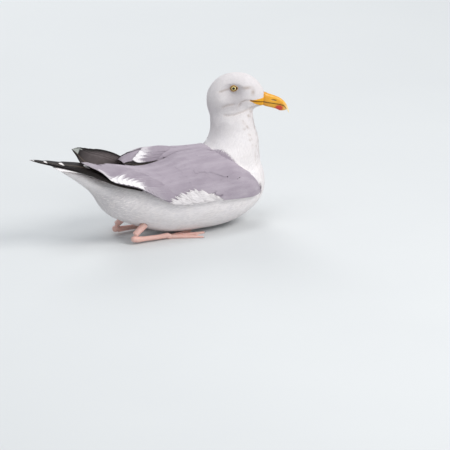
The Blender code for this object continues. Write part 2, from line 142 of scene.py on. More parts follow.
# A folded arm, along X: its lower edge and its upper edge, each as distance from the middle
# and height, then the rise of the back between them.
RIGHT_ARM = [
    (-201, 11, 146.5, 8, 147.5, 0.3), (-187, 20, 140.5, 7, 144, 0.6),
    (-174, 31, 132, 6.5, 141, 1.5), (-160, 45, 118, 6, 138, 3), (-148, 50, 113.5, 5.5, 136, 5),
    (-119, 55, 104, 5, 129, 8), (-103, 58, 95, 5, 125, 10), (-78, 63, 80, 5, 122.5, 13),
    (-50, 66, 67, 5, 125.5, 15.5), (-15, 68.5, 64, 5, 134.5, 16), (25, 69.5, 63, 8, 135, 15.5),
    (53, 69, 61, 26, 128, 13), (71, 67, 59, 44, 112, 8), (95, 60.5, 57, 48, 92, 4.5),
    (108, 53, 57, 46, 76, 3), (115, 45.5, 60, 42, 67, 1.5),
]
LEFT_ARM = [
    (-114, 48, 107, 31, 127, 0.5), (-106, 52, 100, 23, 134, 4), (-90, 59, 88, 12, 142, 12),
    (-70, 63, 78, 9, 145.5, 17), (-50, 66, 70, 8, 145, 18), (-33, 67.5, 66, 7, 143, 17.5),
    (-10, 68.5, 64, 6.5, 140, 16.5), (20, 69.5, 63, 7.5, 137.5, 16),
] + RIGHT_ARM[11:]

# The front edge of the grey mantle, by the angle round the body: 0 is level with the flank.
MANTLE_FRONT = [(-90, 118), (0, 116), (20, 109), (32, 98), (46, 74), (70, 53), (90, 27)]
# The upper edge of the white flank feathers where they lie over the wing, along X.
FLANK_TOP = [(-200, 0), (-64, 56), (-56, 66), (-46, 76), (-18, 83), (5, 80.5), (28, 67),
             (52, 54), (75, 51), (118, 53)]


def mantle_front(points):
    """Where the grey begins along X, at the places' angle round the body."""
    y, z = points[..., 1], points[..., 2]
    return along(MANTLE_FRONT, np.degrees(np.arctan2(z - 60, np.abs(y) + 1e-6)))[0]


def mantle_mask(points):
    """How grey the plumage is, from 0 for white to 1 for mantle."""
    x = points[..., 0]
    return smoothstep(3.0, -3.0, x - mantle_front(points)) * smoothstep(44, 50, points[..., 2])


def low_edge(points):
    """The height of the folded arms' lower edge."""
    x = points[..., 0]
    edges = [along([(row[0], row[2]) for row in rows], x)[0] for rows in (RIGHT_ARM, LEFT_ARM)]
    return np.where(points[..., 1] < 0, edges[0], edges[1])


def bend_shadow_mask(points):
    """Painted shadow in the gap at the bend of the right wing: tufts there are darkened to stand
    for the shade between wing and body.
    """
    x, y, z = points[..., 0], points[..., 1], points[..., 2]
    return np.exp(-((x - 111) / 4.5) ** 4 - ((z - 56 + 0.5 * (x - 111)) / 8.5) ** 4) * (y < -30)


def near_line(ahead, height, line):
    """Distance from a line drawn on the side of the head."""
    best = np.full(np.shape(ahead), 1e9)
    for (a0, h0), (a1, h1) in zip(line, line[1:]):
        run = (a1 - a0) ** 2 + (h1 - h0) ** 2
        s = np.clip(((ahead - a0) * (a1 - a0) + (height - h0) * (h1 - h0)) / run, 0, 1)
        best = np.minimum(best, np.hypot(ahead - a0 - s * (a1 - a0), height - h0 - s * (h1 - h0)))
    return best


GAPE_LINE = [(47, 201.6), (40, 202.4), (33, 204.0), (27, 206.0), (21.5, 207.8)]
CREASES = [                 # line on the head's side, half width, depth
    ([(21.5, 207.8), (14, 208.4), (8, 206), (3.5, 200)], 1.7, 0.9),
    ([(-5, 203), (-16, 201.5), (-23, 198.5)], 2.0, 0.7),
    ([(36, 197), (24, 193.5), (10, 190), (-6, 186.5), (-20, 185.5)], 2.0, 0.9),
    ([(-13, 227), (-20, 225.5), (-28, 224)], 2.0, 0.7),
]
RICTUS_TOP = [(20, 208.2), (24, 208.0), (30, 208.2), (38, 208.8), (44, 210.0), (46, 212)]
RICTUS_LOW = [(20, 207.4), (24, 205.2), (29, 201.4), (34, 197.6), (40, 195.2), (46, 192.5)]


def rictus_mask(points):
    """The bare yellow wedge at the corner of the mouth."""
    ahead, side, height = head_place(points)
    top, low = along(RICTUS_TOP, ahead)[0], along(RICTUS_LOW, ahead)[0]
    inside = smoothstep(-0.5, 0.5, top - height) * smoothstep(-0.5, 0.5, height - low)
    return inside * smoothstep(20.5, 22.5, ahead) * (np.abs(side) > 2)


PUPIL, IRIS, LID = 2.05, 3.9, 4.35      # radii


def lid_reach(turn):
    """How far the lids stand from the middle of the eye: a point in front, a hint behind."""
    front, rear = np.maximum(np.cos(turn), 0) ** 9, np.maximum(-np.cos(turn), 0) ** 9
    return LID + 1.7 * front + 0.4 * rear - 0.2 * np.abs(np.sin(turn)) ** 3


FLECKS = RNG.random((70, 4))


def face_shade(points):
    """How grey the plumage of the head is, most of all round the eye and on the cheek."""
    ahead, _, height = head_place(points)
    eye = bell((ahead + 2) / 17, (height - 226) / 13)
    cheek = bell((ahead + 2) / 20, (height - 204) / 13)
    return smoothstep(168, 196, height) * np.clip(0.22 + 0.62 * eye + 0.5 * cheek, 0, 1)


def soil_and_shade_mask(points):
    """Brown smudges on the lores, behind the eye and down the front of the neck, and painted shade
    along the folds of the cheek and throat.
    """
    ahead, side, height = head_place(points)
    lores = 0.6 * bell((ahead - 17) / 7.5, (height - 228.5) / 2.4)
    lores += 0.6 * bell((ahead - 27) / 2.8, (height - 220.5) / 4.5)
    gaps = [near_line(ahead, height, line) for line, _, _ in CREASES]
    behind = 0.45 * bell(gaps[3] / 1.6)
    # painted shade: darker lines along the cheek and throat folds, where shade falls in the
    # creases
    folds = sum(0.16 * bell(gap / 2.6) + 0.2 * bell(gap / 0.9) for gap in gaps[:3])
    on_side = smoothstep(6, 12, np.abs(side)) * (height > 178)
    spots = np.zeros(np.shape(ahead))
    for a, b, c, d in FLECKS:
        drop = 190 - 88 * a
        where = (b - 0.45) * 44 + 4
        size = 0.9 + 1.3 * c
        spots += (0.12 + 0.34 * d) * bell((side + where) / size, (height - drop) / (size * 1.3))
    front = smoothstep(-18, 6, ahead) * smoothstep(84, 100, height)
    return np.clip((lores + behind + folds) * on_side + spots * front, 0, 1)


# ---------------------------------------------------------------- meshes

def merged(name):
    """A solid of the frame as one joined mesh, in millimetres."""
    bm = bmesh.new()
    bm.from_mesh(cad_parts[name].data)
    bmesh.ops.remove_doubles(bm, verts=bm.verts, dist=1e-6)
    bmesh.ops.scale(bm, vec=(1 / MM,) * 3, verts=bm.verts)
    bm.normal_update()
    return bm


def read(values, attribute, width=3, kind=float):
    """One attribute of a collection of mesh elements as rows."""
    flat = np.empty(len(values) * width, kind)
    values.foreach_get(attribute, flat)
    return flat.reshape(-1, width) if width > 1 else flat


def new_object(name, data):
    piece = bpy.data.objects.new(name, data)
    bpy.context.scene.collection.objects.link(piece)
    return piece


def new_mesh(name, bm):
    """The mesh in its own right."""
    mesh = bpy.data.meshes.new(name)
    bm.to_mesh(mesh)
    bm.free()
    return mesh


def place(name, mesh, finish, slot, *nodes):
    """A finished piece in metres that rides on the bird."""
    piece = new_object(name, mesh)
    mesh.materials.clear()
    mesh.materials.append(finish)
    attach(piece, "root")
    if nodes:
        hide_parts(*nodes)
    return piece


def as_mesh(name, bm):
    """The mesh in its own right and in metres, with its faces shaded smooth."""
    bmesh.ops.scale(bm, vec=(MM,) * 3, verts=bm.verts)
    mesh = new_mesh(name, bm)
    mesh.shade_smooth()
    return mesh


def as_piece(name, bm, finish, slot, *nodes):
    """A finished piece from a closed mesh drawn in millimetres."""
    bmesh.ops.recalc_face_normals(bm, faces=bm.faces)
    return place(name, as_mesh(name, bm), finish, slot, *nodes)


def take_in(whole, part):
    """Move one mesh into another."""
    mesh = new_mesh("part", part)
    whole.from_mesh(mesh)
    bpy.data.meshes.remove(mesh)


def remeshed(whole, voxel, rounds, grow=0.0):
    """Several overlapping solids blended into one smooth skin."""
    piece = new_object("solids", new_mesh("solids", whole))
    if grow:
        fuller = piece.modifiers.new("fuller", "DISPLACE")
        fuller.strength, fuller.mid_level = grow, 0.0
    blend = piece.modifiers.new("blend", "REMESH")
    blend.mode, blend.voxel_size = "VOXEL", voxel
    soften = piece.modifiers.new("soften", "SMOOTH")
    soften.factor, soften.iterations = 0.5, rounds
    seen = piece.evaluated_get(bpy.context.evaluated_depsgraph_get())
    mesh = bpy.data.meshes.new_from_object(seen)
    bpy.data.objects.remove(piece)
    bm = bmesh.new()
    bm.from_mesh(mesh)
    bpy.data.meshes.remove(mesh)
    return bm


class Surface:
    """A mesh in millimetres that plumage is laid on."""

    def __init__(self, mesh, scale=1 / MM):
        self.points = read(mesh.vertices, "co") * scale
        self.normals = unit(read(mesh.vertices, "normal"))
        mesh.calc_loop_triangles()
        self.corners = read(mesh.loop_triangles, "vertices", 3, int)
        self.tree = BVHTree.FromPolygons(self.points.tolist(), self.corners.tolist())
        a, b, c = (self.points[self.corners[:, i]] for i in range(3))
        self.middles = (a + b + c) / 3
        self.areas = np.linalg.norm(np.cross(b - a, c - a), axis=1) / 2

    def smooth_normals(self, triangles, places):
        """Normals blended between the corners of the triangles that hold some places."""
        a, b, c = (self.points[self.corners[triangles, i]] for i in range(3))
        u, v, w = b - a, c - a, places - a
        uu, uv, vv = (u * u).sum(1), (u * v).sum(1), (v * v).sum(1)
        wu, wv = (w * u).sum(1), (w * v).sum(1)
        span = np.maximum(uu * vv - uv * uv, 1e-12)
        s = np.clip((vv * wu - uv * wv) / span, 0, 1)[:, None]
        t = np.clip((uu * wv - uv * wu) / span, 0, 1)[:, None]
        na, nb, nc = (self.normals[self.corners[triangles, i]] for i in range(3))
        return unit(na * (1 - s - t) + nb * s + nc * t)

    def nearest(self, places):
        """The closest places on the surface, and its normals there."""
        found = [self.tree.find_nearest(Vector(place)) for place in places]
        spots = np.array([hit[0] for hit in found])
        return spots, self.smooth_normals(np.array([hit[2] for hit in found]), spots)

    def scatter(self, inside, spacing, long=1.0):
        """Roots spread evenly over some triangles, spacing(places) apart, and further along X."""
        chosen = np.flatnonzero(inside)
        gaps = spacing(self.middles[chosen])
        weights = self.areas[chosen] / gaps ** 2
        tries = int(weights.sum() * 5 / long)
        squeeze = np.array([1 / long, 1, 1])
        picked = chosen[RNG.choice(len(chosen), tries, p=weights / weights.sum())]
        s, t = RNG.random(tries), RNG.random(tries)
        s, t = np.where(s + t > 1, 1 - s, s), np.where(s + t > 1, 1 - t, t)
        a, b, c = (self.points[self.corners[picked, i]] for i in range(3))
        places = a + (b - a) * s[:, None] + (c - a) * t[:, None]
        gaps = spacing(places)
        tree = kdtree.KDTree(tries)
        squeezed = places * squeeze
        for i, spot in enumerate(squeezed):
            tree.insert(spot, i)
        tree.balance()
        free = np.ones(tries, bool)
        for i, spot in enumerate(squeezed):
            if free[i]:
                for _, j, _ in tree.find_range(spot, gaps[i]):
                    if j > i:
                        free[j] = False
        kept = np.flatnonzero(free)
        return places[kept], self.smooth_normals(picked[kept], places[kept])


# ---------------------------------------------------------------- finishes

class Nodes:
    """Short names for building one node tree."""

    def __init__(self, tree):
        self.tree = tree

    def add(self, kind, **settings):
        node = self.tree.nodes.new(kind)
        for key, value in settings.items():
            if key in node.bl_rna.properties:
                setattr(node, key, value)
            else:
                node.inputs[key.replace("_", " ")].default_value = value
        return node

    def join(self, *pairs):
        for source, target in pairs:
            self.tree.links.new(source, target)

    def mix(self, factor, one, two, amount=None):
        """A colour between two, each of them a colour or the output of a node. An amount scales
        the factor."""
        factor = factor if amount is None else self.sum("MULTIPLY", factor, amount)
        node = self.add("ShaderNodeMix", data_type="RGBA")
        for socket, value in zip((node.inputs[0], node.inputs[6], node.inputs[7]),
                                 (factor, one, two)):
            if isinstance(value, bpy.types.NodeSocket):
                self.join((value, socket))
            elif isinstance(value, tuple):
                socket.default_value = (*value, 1)
            else:
                socket.default_value = value
        return node.outputs[2]

    def sum(self, operation, *values, clamp=False):
        node = self.add("ShaderNodeMath", operation=operation, use_clamp=clamp)
        for socket, value in zip(node.inputs, values):
            if isinstance(value, bpy.types.NodeSocket):
                self.join((value, socket))
            else:
                socket.default_value = value
        return node.outputs[0]

    def band(self, value, low, high):
        """0 below low, 1 above high; the other way round where low is the greater."""
        edge = self.add("ShaderNodeMapRange", From_Min=low, From_Max=high)
        self.join((value, edge.inputs["Value"]))
        return edge.outputs["Result"]

    def split(self, name):
        """Red, green, blue and alpha of a piece's own attribute."""
        source = self.add("ShaderNodeAttribute", attribute_name=name)
        parts = self.add("ShaderNodeSeparateColor")
        self.join((source.outputs["Color"], parts.inputs["Color"]))
        return [*parts.outputs, source.outputs["Alpha"]]


def new_group(name, inputs, outputs):
    """An empty node group with its sockets: name, kind and first value."""
    tree = bpy.data.node_groups.new(name, "ShaderNodeTree")
    for side, sockets in (("INPUT", inputs), ("OUTPUT", outputs)):
        for label, kind, value in sockets:
            socket = tree.interface.new_socket(name=label, in_out=side,
                                               socket_type="NodeSocket" + kind)
            if value is not None:
                socket.default_value = value
    nodes = Nodes(tree)
    return tree, nodes, nodes.add("NodeGroupInput"), nodes.add("NodeGroupOutput")


def mottle_group():
    """Soft cloudy variation in three dimensions, as a mask round a half."""
    tree, n, given, out = new_group("mottle", [
        ("Scale", "Float", 60.0), ("Detail", "Float", 3.0), ("Strength", "Float", 1.0),
    ], [("Mask", "Float", None)])
    place = n.add("ShaderNodeTexCoord")
    noise = n.add("ShaderNodeTexNoise")
    n.join((place.outputs["Object"], noise.inputs["Vector"]),
           (given.outputs["Scale"], noise.inputs["Scale"]),
           (given.outputs["Detail"], noise.inputs["Detail"]))
    centred = n.sum("SUBTRACT", noise.outputs["Fac"], 0.5)
    swing = n.sum("MULTIPLY", centred, given.outputs["Strength"])
    n.join((n.sum("ADD", swing, 0.5, clamp=True), out.inputs["Mask"]))
    return tree


def barbs_group():
    """Fine barbs that sweep from a feather's shaft to its edge, as a height and a mask."""
    tree, n, given, out = new_group("barbs", [
        ("Along", "Float", 0.0), ("Across", "Float", 0.0), ("Count", "Float", 60.0),
        ("Sweep", "Float", 0.25), ("Split", "Float", 0.3),
    ], [("Height", "Float", None), ("Mask", "Float", None)])
    out_from_shaft = n.sum("ABSOLUTE", given.outputs["Across"])
    swept = n.sum("SUBTRACT", given.outputs["Along"],
                  n.sum("MULTIPLY", out_from_shaft, given.outputs["Sweep"]))
    turns = n.sum("MULTIPLY", swept, given.outputs["Count"])
    place = n.add("ShaderNodeTexCoord")
    noise = n.add("ShaderNodeTexNoise", Scale=220.0, Detail=2.0)
    n.join((place.outputs["Object"], noise.inputs["Vector"]))
    uneven = n.sum("MULTIPLY", noise.outputs["Fac"], given.outputs["Split"])
    wave = n.sum("SINE", n.sum("MULTIPLY", n.sum("ADD", turns, uneven), 2 * pi))
    height = n.sum("MULTIPLY_ADD", wave, 0.5, 0.5)
    n.join((height, out.inputs["Height"]), (height, out.inputs["Mask"]))
    return tree


def streaks_group():
    """Long soft streaks from the front of the bird to its rear, as a mask round a half."""
    tree, n, given, out = new_group("streaks", [("Scale", "Float", 130.0)],
                                    [("Mask", "Float", None)])
    place = n.add("ShaderNodeTexCoord")
    drawn = n.add("ShaderNodeMapping", Scale=(0.13, 1.0, 1.0))
    noise = n.add("ShaderNodeTexNoise", Detail=3.0)
    n.join((place.outputs["Object"], drawn.inputs["Vector"]),
           (drawn.outputs["Vector"], noise.inputs["Vector"]),
           (given.outputs["Scale"], noise.inputs["Scale"]))
    n.join((noise.outputs["Fac"], out.inputs["Mask"]))
    return tree


MOTTLE, BARBS, STREAKS = mottle_group(), barbs_group(), streaks_group()


def finish(name, roughness=0.7, **constants):
    """A new material, its nodes, and its shader with constants on the shader's own sockets."""
    material = bpy.data.materials.new(name)
    material.use_nodes = True
    shader = material.node_tree.nodes["Principled BSDF"]
    shader.inputs["Roughness"].default_value = roughness
    for key, value in constants.items():
        shader.inputs[key.replace("_", " ")].default_value = value
    return material, Nodes(material.node_tree), shader


def mottle(n, scale, strength=1.0, detail=3.0):
    return n.add("ShaderNodeGroup", node_tree=MOTTLE, Scale=scale, Strength=strength,
                 Detail=detail).outputs["Mask"]


def barbs(n, to_tip, across, shaft, count, sweep):
    """The height and the mask of a vane's barbs, on both sides of its shaft."""
    vane = n.add("ShaderNodeGroup", node_tree=BARBS, Count=count, Sweep=sweep, Split=0.8)
    n.join((to_tip, vane.inputs["Along"]),
           (n.sum("SUBTRACT", across, shaft), vane.inputs["Across"]))
    return vane.outputs["Height"], vane.outputs["Mask"]


def finished(made, colour, height, distance, strength, rough=None):
    """Give a new material its colour, its fine relief and, where it varies, its roughness."""
    material, n, shader = made
    relief = n.add("ShaderNodeBump", Distance=distance, Strength=strength)
    n.join((colour, shader.inputs["Base Color"]), (height, relief.inputs["Height"]),
           (relief.outputs["Normal"], shader.inputs["Normal"]))
    if rough:
        n.join((rough, shader.inputs["Roughness"]))
    return material


def plumage(name):
    """Soft feathers, white to grey by the coat attribute: red is how grey, raised also for the
    painted shadow at the wing's bend;
    green is each feather's own tint, with painted shade added on the flank and under the tail;
    blue is how soiled a feather is, with painted shade in the head's folds, at the wing's bend and
    in the coverts' nicks; alpha runs from a feather's root to its tip, and the root end is painted
    a little darker as shade."""
    made = finish(name, roughness=0.82, Sheen_Weight=0.12, Sheen_Roughness=0.6,
                  Specular_IOR_Level=0.25)
    n = made[1]
    grey, tint, soil_and_shade, tip = n.split("coat")
    cloud = mottle(n, 42.0, 1.6)
    fine = mottle(n, 900.0, 1.2, 2.0)
    white = n.mix(cloud, WHITE, WARM_WHITE, 0.5)
    # painted shade: each tuft a little darker towards its root, where the tufts over it shade it
    root_shade = n.sum("MULTIPLY", n.sum("SUBTRACT", 1.0, tip), 0.12)
    white = n.mix(n.sum("ADD", tint, root_shade), white, SHADE_WHITE)
    slate = n.mix(n.sum("MULTIPLY_ADD", cloud, 0.7, -0.1), MANTLE, MANTLE_DARK)
    slate = n.mix(tint, slate, MANTLE_PALE, 0.10)
    streak = n.add("ShaderNodeGroup", node_tree=STREAKS).outputs["Mask"]
    slate = n.mix(n.sum("MULTIPLY_ADD", streak, 1.5, -0.65, clamp=True), slate, MANTLE_PALE)
    slate = n.mix(n.sum("MULTIPLY_ADD", streak, -1.2, 0.5, clamp=True), slate, MANTLE_DARK)
    pale_tip = n.sum("MULTIPLY", n.sum("POWER", tip, 8.0), 0.16)
    slate = n.mix(pale_tip, slate, MANTLE_PALE)
    coat = n.mix(grey, white, slate)
    coat = n.mix(fine, coat, SHADE_WHITE, 0.10)
    # dirt and painted shade (head folds, wing bend, covert nicks) darken the coat
    coat = n.mix(soil_and_shade, coat, n.mix(grey, SOIL_AND_SHADE, BROWN_BLACK))
    relief = n.sum("ADD", fine, n.sum("MULTIPLY", cloud, 0.5))
    return finished(made, coat, relief, 0.0003, 0.5, n.sum("MULTIPLY_ADD", fine, 0.2, 0.7))


PLUMAGE = plumage("soft_plumage")


# ---------------------------------------------------------------- skin

def flesh_shape():
    """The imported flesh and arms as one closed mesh, in millimetres."""
    whole = bmesh.new()
    for name in FLESH:
        part = merged(name)
        push = 0.4 if name.endswith("wing") else 0.3
        shifts = [(vert, vert.normal * push) for vert in part.verts]
        for vert, shift in shifts:
            vert.co += shift
        take_in(whole, part)
    bm = remeshed(whole, 2.3, 5)
    islands, left = [], set(bm.verts)
    while left:
        island, rim = set(), [left.pop()]
        while rim:
            vert = rim.pop()
            island.add(vert)
            for edge in vert.link_edges:
                other = edge.other_vert(vert)
                if other in left:
                    left.remove(other)
                    rim.append(other)
        islands.append(island)
    body = max(islands, key=len)
    bmesh.ops.delete(bm, geom=[v for v in bm.verts if v not in body], context="VERTS")
    return bm


def refine(bm, rule):
    """Finer faces where the rule holds for a face's middle."""
    middles = np.array([face.calc_center_median() for face in bm.faces])
    chosen = [face for face, yes in zip(bm.faces, rule(middles)) if yes]
    edges = {edge for face in chosen for edge in face.edges}
    bmesh.ops.subdivide_edges(bm, edges=list(edges), cuts=1, use_grid_fill=True, smooth=0.4)


def on_head(points):
    return head_place(points)[2] > 176


def on_face(points):
    ahead, _, height = head_place(points)
    eye_gap = np.hypot(ahead - EYE[0], height - EYE[2])
    return (height > 180) & (((ahead > 12) & (height < 224)) | (eye_gap < 13))


def region_of(points, nodes):
    """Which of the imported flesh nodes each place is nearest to."""
    gaps = [[tree.find_nearest(Vector(point))[3] for point in points] for tree in nodes]
    return np.argmin(gaps, axis=0)


def coat_depth(points):
    """How far the skin lies below the outside of the plumage."""
    ahead, _, height = head_place(points)
    neck = 1.4 - 0.5 * smoothstep(150, 190, height)
    face = 0.9 - 0.35 * smoothstep(-10, 36, ahead)
    depth = np.where(height > 118, neck, 1.7)
    return depth + (face - depth) * smoothstep(176, 196, height)


def shape_skin(bm):
    """Sink the skin below the plumage, hollow the eyes' orbits and fold the cheeks."""
    tree = BVHTree.FromBMesh(bm)
    bm.normal_update()
    points = np.array([vert.co for vert in bm.verts])
    normals = np.array([vert.normal for vert in bm.verts])
    room = []
    for point, normal in zip(points, normals):
        start, way = Vector(point), Vector(-normal)
        hit = tree.ray_cast(start + way * 0.05, way, 40)
        room.append(hit[3] if hit[0] is not None else 40)
    sink = np.minimum(coat_depth(points), 0.3 * np.array(room))
    ahead, side, height = head_place(points)
    beside = np.abs(side)
    head = (height > 178) & (np.abs(normals @ ASIDE) > 0.05)
    for line, width, depth in CREASES:
        gap = near_line(ahead, height, line)
        sink += head * (beside > 5) * depth * bell(gap / width)
    gape = near_line(ahead, height, GAPE_LINE)
    sink += head * (beside > 2) * 0.75 * bell(gape / 0.8)
    sink -= head * 0.5 * rictus_mask(points) * smoothstep(0.6, 1.6, gape)
    points = points - normals * sink[:, None]
    # The side of the head is flat round the eye, and its floor meets the lids.
    ahead, side, height = head_place(points)
    for sign in (-1, 1):
        on_this = (side * sign > 4) & (height > 200)
        gap = np.hypot(ahead - EYE[0], (height - EYE[2]) * 1.05)
        brow = 0.55 * bell((height - EYE[2] - 8.4) / 3.4, (ahead - EYE[0] - 1) / 9)
        turn = np.arctan2(height - EYE[2], ahead - EYE[0])
        rim = smoothstep(-0.2, 0.7, np.hypot(ahead - EYE[0], height - EYE[2]) - lid_reach(turn))
        target = 15.2 + 2.4 * rim + brow + 0.10 * np.maximum(gap - 6.5, 0)
        flat = 1 - smoothstep(6.5, 34, gap) ** 0.8
        shift = (side * sign - target) * np.where(side * sign > target, flat,
                                                  smoothstep(8.6, 7.2, gap))
        points -= ASIDE * (sign * shift * on_this)[:, None]
    for vert, point in zip(bm.verts, points):
        vert.co = point


def dress_skin():
    bm = flesh_shape()
    refine(bm, on_head)
    refine(bm, on_face)
    shape_skin(bm)
    bmesh.ops.smooth_vert(bm, verts=[v for v in bm.verts if v.co.z < 205], factor=0.4,
                          use_axis_x=True, use_axis_y=True, use_axis_z=True)
    bmesh.ops.triangulate(bm, faces=bm.faces)
    bmesh.ops.recalc_face_normals(bm, faces=bm.faces)
    mesh = as_mesh("skin", bm)
    surface = Surface(mesh)
    trees = []
    for name in FLESH:
        part = merged(name)
        trees.append(BVHTree.FromBMesh(part))
        part.free()
    region = region_of(surface.middles, trees)
    corner_region = np.zeros(len(surface.points), int)
    corner_region[surface.corners.ravel()] = np.repeat(region, 3)
    points = surface.points
    winged = np.isin(corner_region, WINGS)
    on_back = smoothstep(95, 108, points[:, 2]) * smoothstep(-110, -100, points[:, 0])
    grey = mantle_mask(points) * np.maximum(winged, on_back)
    grey *= points[:, 2] > np.maximum(along(FLANK_TOP, points[:, 0])[0], low_edge(points) - 2)
    ahead, _, height = head_place(points)
    # painted shade: the gape line is darkened, standing in for the shade in the crease of the
    # mouth
    mouth = bell(near_line(ahead, height, GAPE_LINE) / (0.5 + 0.05 * (47 - ahead)))
    bare = rictus_mask(points) * (1 + 0.9 * mouth)
    write_coat(mesh, columns(grey, 0.1 + face_shade(points), soil_and_shade_mask(points), bare))
    return mesh, surface, region


def write_coat(mesh, values):
    layer = mesh.attributes.new("coat", "FLOAT_COLOR", "POINT")
    layer.data.foreach_set("color", values.astype(np.float32).ravel())


def skin_finish():
    """Skin that carries the plumage's markings, with the yellow corner of the mouth and painted
    shade along the gape.
    """
    made = finish("skin", roughness=0.7, Specular_IOR_Level=0.3)
    n = made[1]
    grey, tint, soil_and_shade, bare = n.split("coat")
    cloud, fine = mottle(n, 60.0, 1.4), mottle(n, 1400.0, 1.3, 2.0)
    white = n.mix(tint, n.mix(cloud, WARM_WHITE, WHITE), SHADE_WHITE)
    slate = n.mix(cloud, MANTLE, MANTLE_DARK)
    # dirt and painted shade in the head's folds darken the skin
    base = n.mix(soil_and_shade, n.mix(grey, white, slate), SOIL_AND_SHADE)
    yellow = n.mix(fine, paint(234, 170, 36), paint(208, 140, 28), 0.4)
    # painted shade: dark brown along the gape line, for the shade in the mouth's crease
    yellow = n.mix(n.band(bare, 1.0, 2.0), yellow, paint(74, 40, 22))
    base = n.mix(bare, base, yellow)
    return finished(made, base, fine, 0.0002, 0.6)


SKIN_MESH, SKIN, REGION = dress_skin()
place("skin", SKIN_MESH, skin_finish(), "white_plumage", *FLESH)


# ---------------------------------------------------------------- shells, tubes and blades

def grid(steps, lanes, spot, marks=None, wrap=False, ring=False):
    """A sheet whose corners lie where spot(s, t) says. s and t run from 0 to 1, and wrap joins
    the edges of t, so that the sheet is a tube with closed ends, or a ring whose ends meet.
    marks(s, t) gives each corner four numbers."""
    bm = bmesh.new()
    bmesh.ops.create_grid(bm, x_segments=steps, y_segments=lanes, size=0.5)
    flat = np.array([vert.co for vert in bm.verts])
    s, t = flat[:, 0] + 0.5, flat[:, 1] + 0.5
    layer = bm.verts.layers.float_color.new("marks")
    values = marks(s, t) if marks else np.zeros((len(s), 4))
    for vert, point, value in zip(bm.verts, spot(s, t), values):
        vert.co = point
        vert[layer] = value
    if wrap:
        bmesh.ops.remove_doubles(bm, verts=bm.verts, dist=1e-4)
        if not ring:
            rims = [edge for edge in bm.edges if edge.is_boundary]
            bmesh.ops.holes_fill(bm, edges=rims, sides=0)
    return bm


def round_end(s, start, run, power=2.2, least=0.004):
    """1 along a vane up to where its end begins, then rounded off to nearly nothing."""
    return np.sqrt(np.clip(1 - np.clip((s - start) / run, 0, 1) ** power, least, 1))


def thicken(bm, thickness):
    """Give an open sheet a second side below it and a rim."""
    bmesh.ops.recalc_face_normals(bm, faces=bm.faces)
    bm.normal_update()
    made = bmesh.ops.duplicate(bm, geom=bm.faces[:])["geom"]
    for vert in made:
        if isinstance(vert, bmesh.types.BMVert):
            vert.co -= vert.normal * thickness
    under = [face for face in made if isinstance(face, bmesh.types.BMFace)]
    bmesh.ops.reverse_faces(bm, faces=under)
    bmesh.ops.bridge_loops(bm, edges=[edge for edge in bm.edges if edge.is_boundary])
    return bm


def join_all(parts):
    """One mesh of several."""
    whole = bmesh.new()
    whole.verts.layers.float_color.new("marks")
    for part in parts:
        bmesh.ops.recalc_face_normals(part, faces=part.faces)
        take_in(whole, part)
    return whole


# ---------------------------------------------------------------- folded arms

def arm_spot(rows, side, x, up, sink=0.0):
    """A place on the outer side of a folded arm: up runs from its lower to its upper edge."""
    low_out, low_z, top_out, top_z, rise = curved(rows, x)
    bow = np.sin(pi * np.clip(up, 0, 1)) ** 0.85 * rise - sink
    out_y, out_z = top_z - low_z, low_out - top_out
    size = np.hypot(out_y, out_z)
    y = low_out + (top_out - low_out) * up + out_y / size * bow
    z = low_z + (top_z - low_z) * up + out_z / size * bow
    return columns(x, side * y, z)


# Between the arms, along X: the left arm's ridge, then the valley against the right arm, each
# as Y and height.
SADDLE = [
    (-118, 26, 124, -3, 125.5), (-106, 21, 134.5, -4, 124), (-90, 12, 142.6, -4, 122.5),
    (-70, 9, 146, -4, 121.5), (-50, 8, 145.6, -4, 124), (-33, 7, 143.6, -4, 129),
    (-10, 6.5, 140.6, -4, 133.5), (20, 8.5, 138, -8, 134.5), (40, 18, 134, -18, 132),
    (54, 29, 127, -29, 126),
]


def saddle_spot(x, up, lift=0.0):
    """A place on the inner slope of the left arm, from the valley up to the ridge."""
    ridge_y, ridge_z, valley_y, valley_z = curved(SADDLE, x)
    y = valley_y + (ridge_y - valley_y) * up
    z = valley_z + (ridge_z - valley_z) * up
    size = np.hypot(ridge_y - valley_y, ridge_z - valley_z)
    bow = lift + 2.2 * np.sin(pi * np.clip(up, 0, 1))
    return columns(x, y - (ridge_z - valley_z) / size * bow,
                   z + (ridge_y - valley_y) / size * bow)


def sheet_surface(spot):
    """Plumage is laid on this sheet. It faces up."""
    bm = grid(60, 28, spot)
    bm.normal_update()
    if sum(face.normal.z * face.calc_area() for face in bm.faces) < 0:
        bmesh.ops.reverse_faces(bm, faces=bm.faces)
    return Surface(new_mesh("sheet", bm), 1.0)


def arm_surface(rows, side):
    """The outer side of an arm, a little below its outermost feathers."""
    first, last = rows[0][0], rows[-1][0]
    return sheet_surface(lambda s, t: arm_spot(rows, side, first + (last - first) * s, t, 0.9))


ARMS = {-1: arm_surface(RIGHT_ARM, -1), 1: arm_surface(LEFT_ARM, 1)}
BETWEEN = sheet_surface(lambda s, t: saddle_spot(-112 + 165 * s, t, -0.9))


# ---------------------------------------------------------------- plumage

def small_tuft():
    """A thin closed tuft one unit long, drawn to a point at its root and at its tip."""
    bm = bmesh.new()
    bmesh.ops.create_uvsphere(bm, u_segments=4, v_segments=2, radius=0.5)
    bmesh.ops.rotate(bm, cent=(0, 0, 0), matrix=Matrix.Rotation(pi / 2, 3, "Y"), verts=bm.verts)
    for vert in bm.verts:
        x, y, z = (round(value, 4) for value in vert.co)
        vert.co = (x + 0.5, y, z)
    return template(bm)


def template(bm):
    """A tuft's corners, its faces as triangles, and how far each corner is from root to tip."""
    bmesh.ops.triangulate(bm, faces=bm.faces)
    bmesh.ops.recalc_face_normals(bm, faces=bm.faces)
    bm.verts.index_update()
    corners = np.array([vert.co for vert in bm.verts])
    faces = np.array([[vert.index for vert in face.verts] for face in bm.faces])
    bm.free()
    return corners, faces


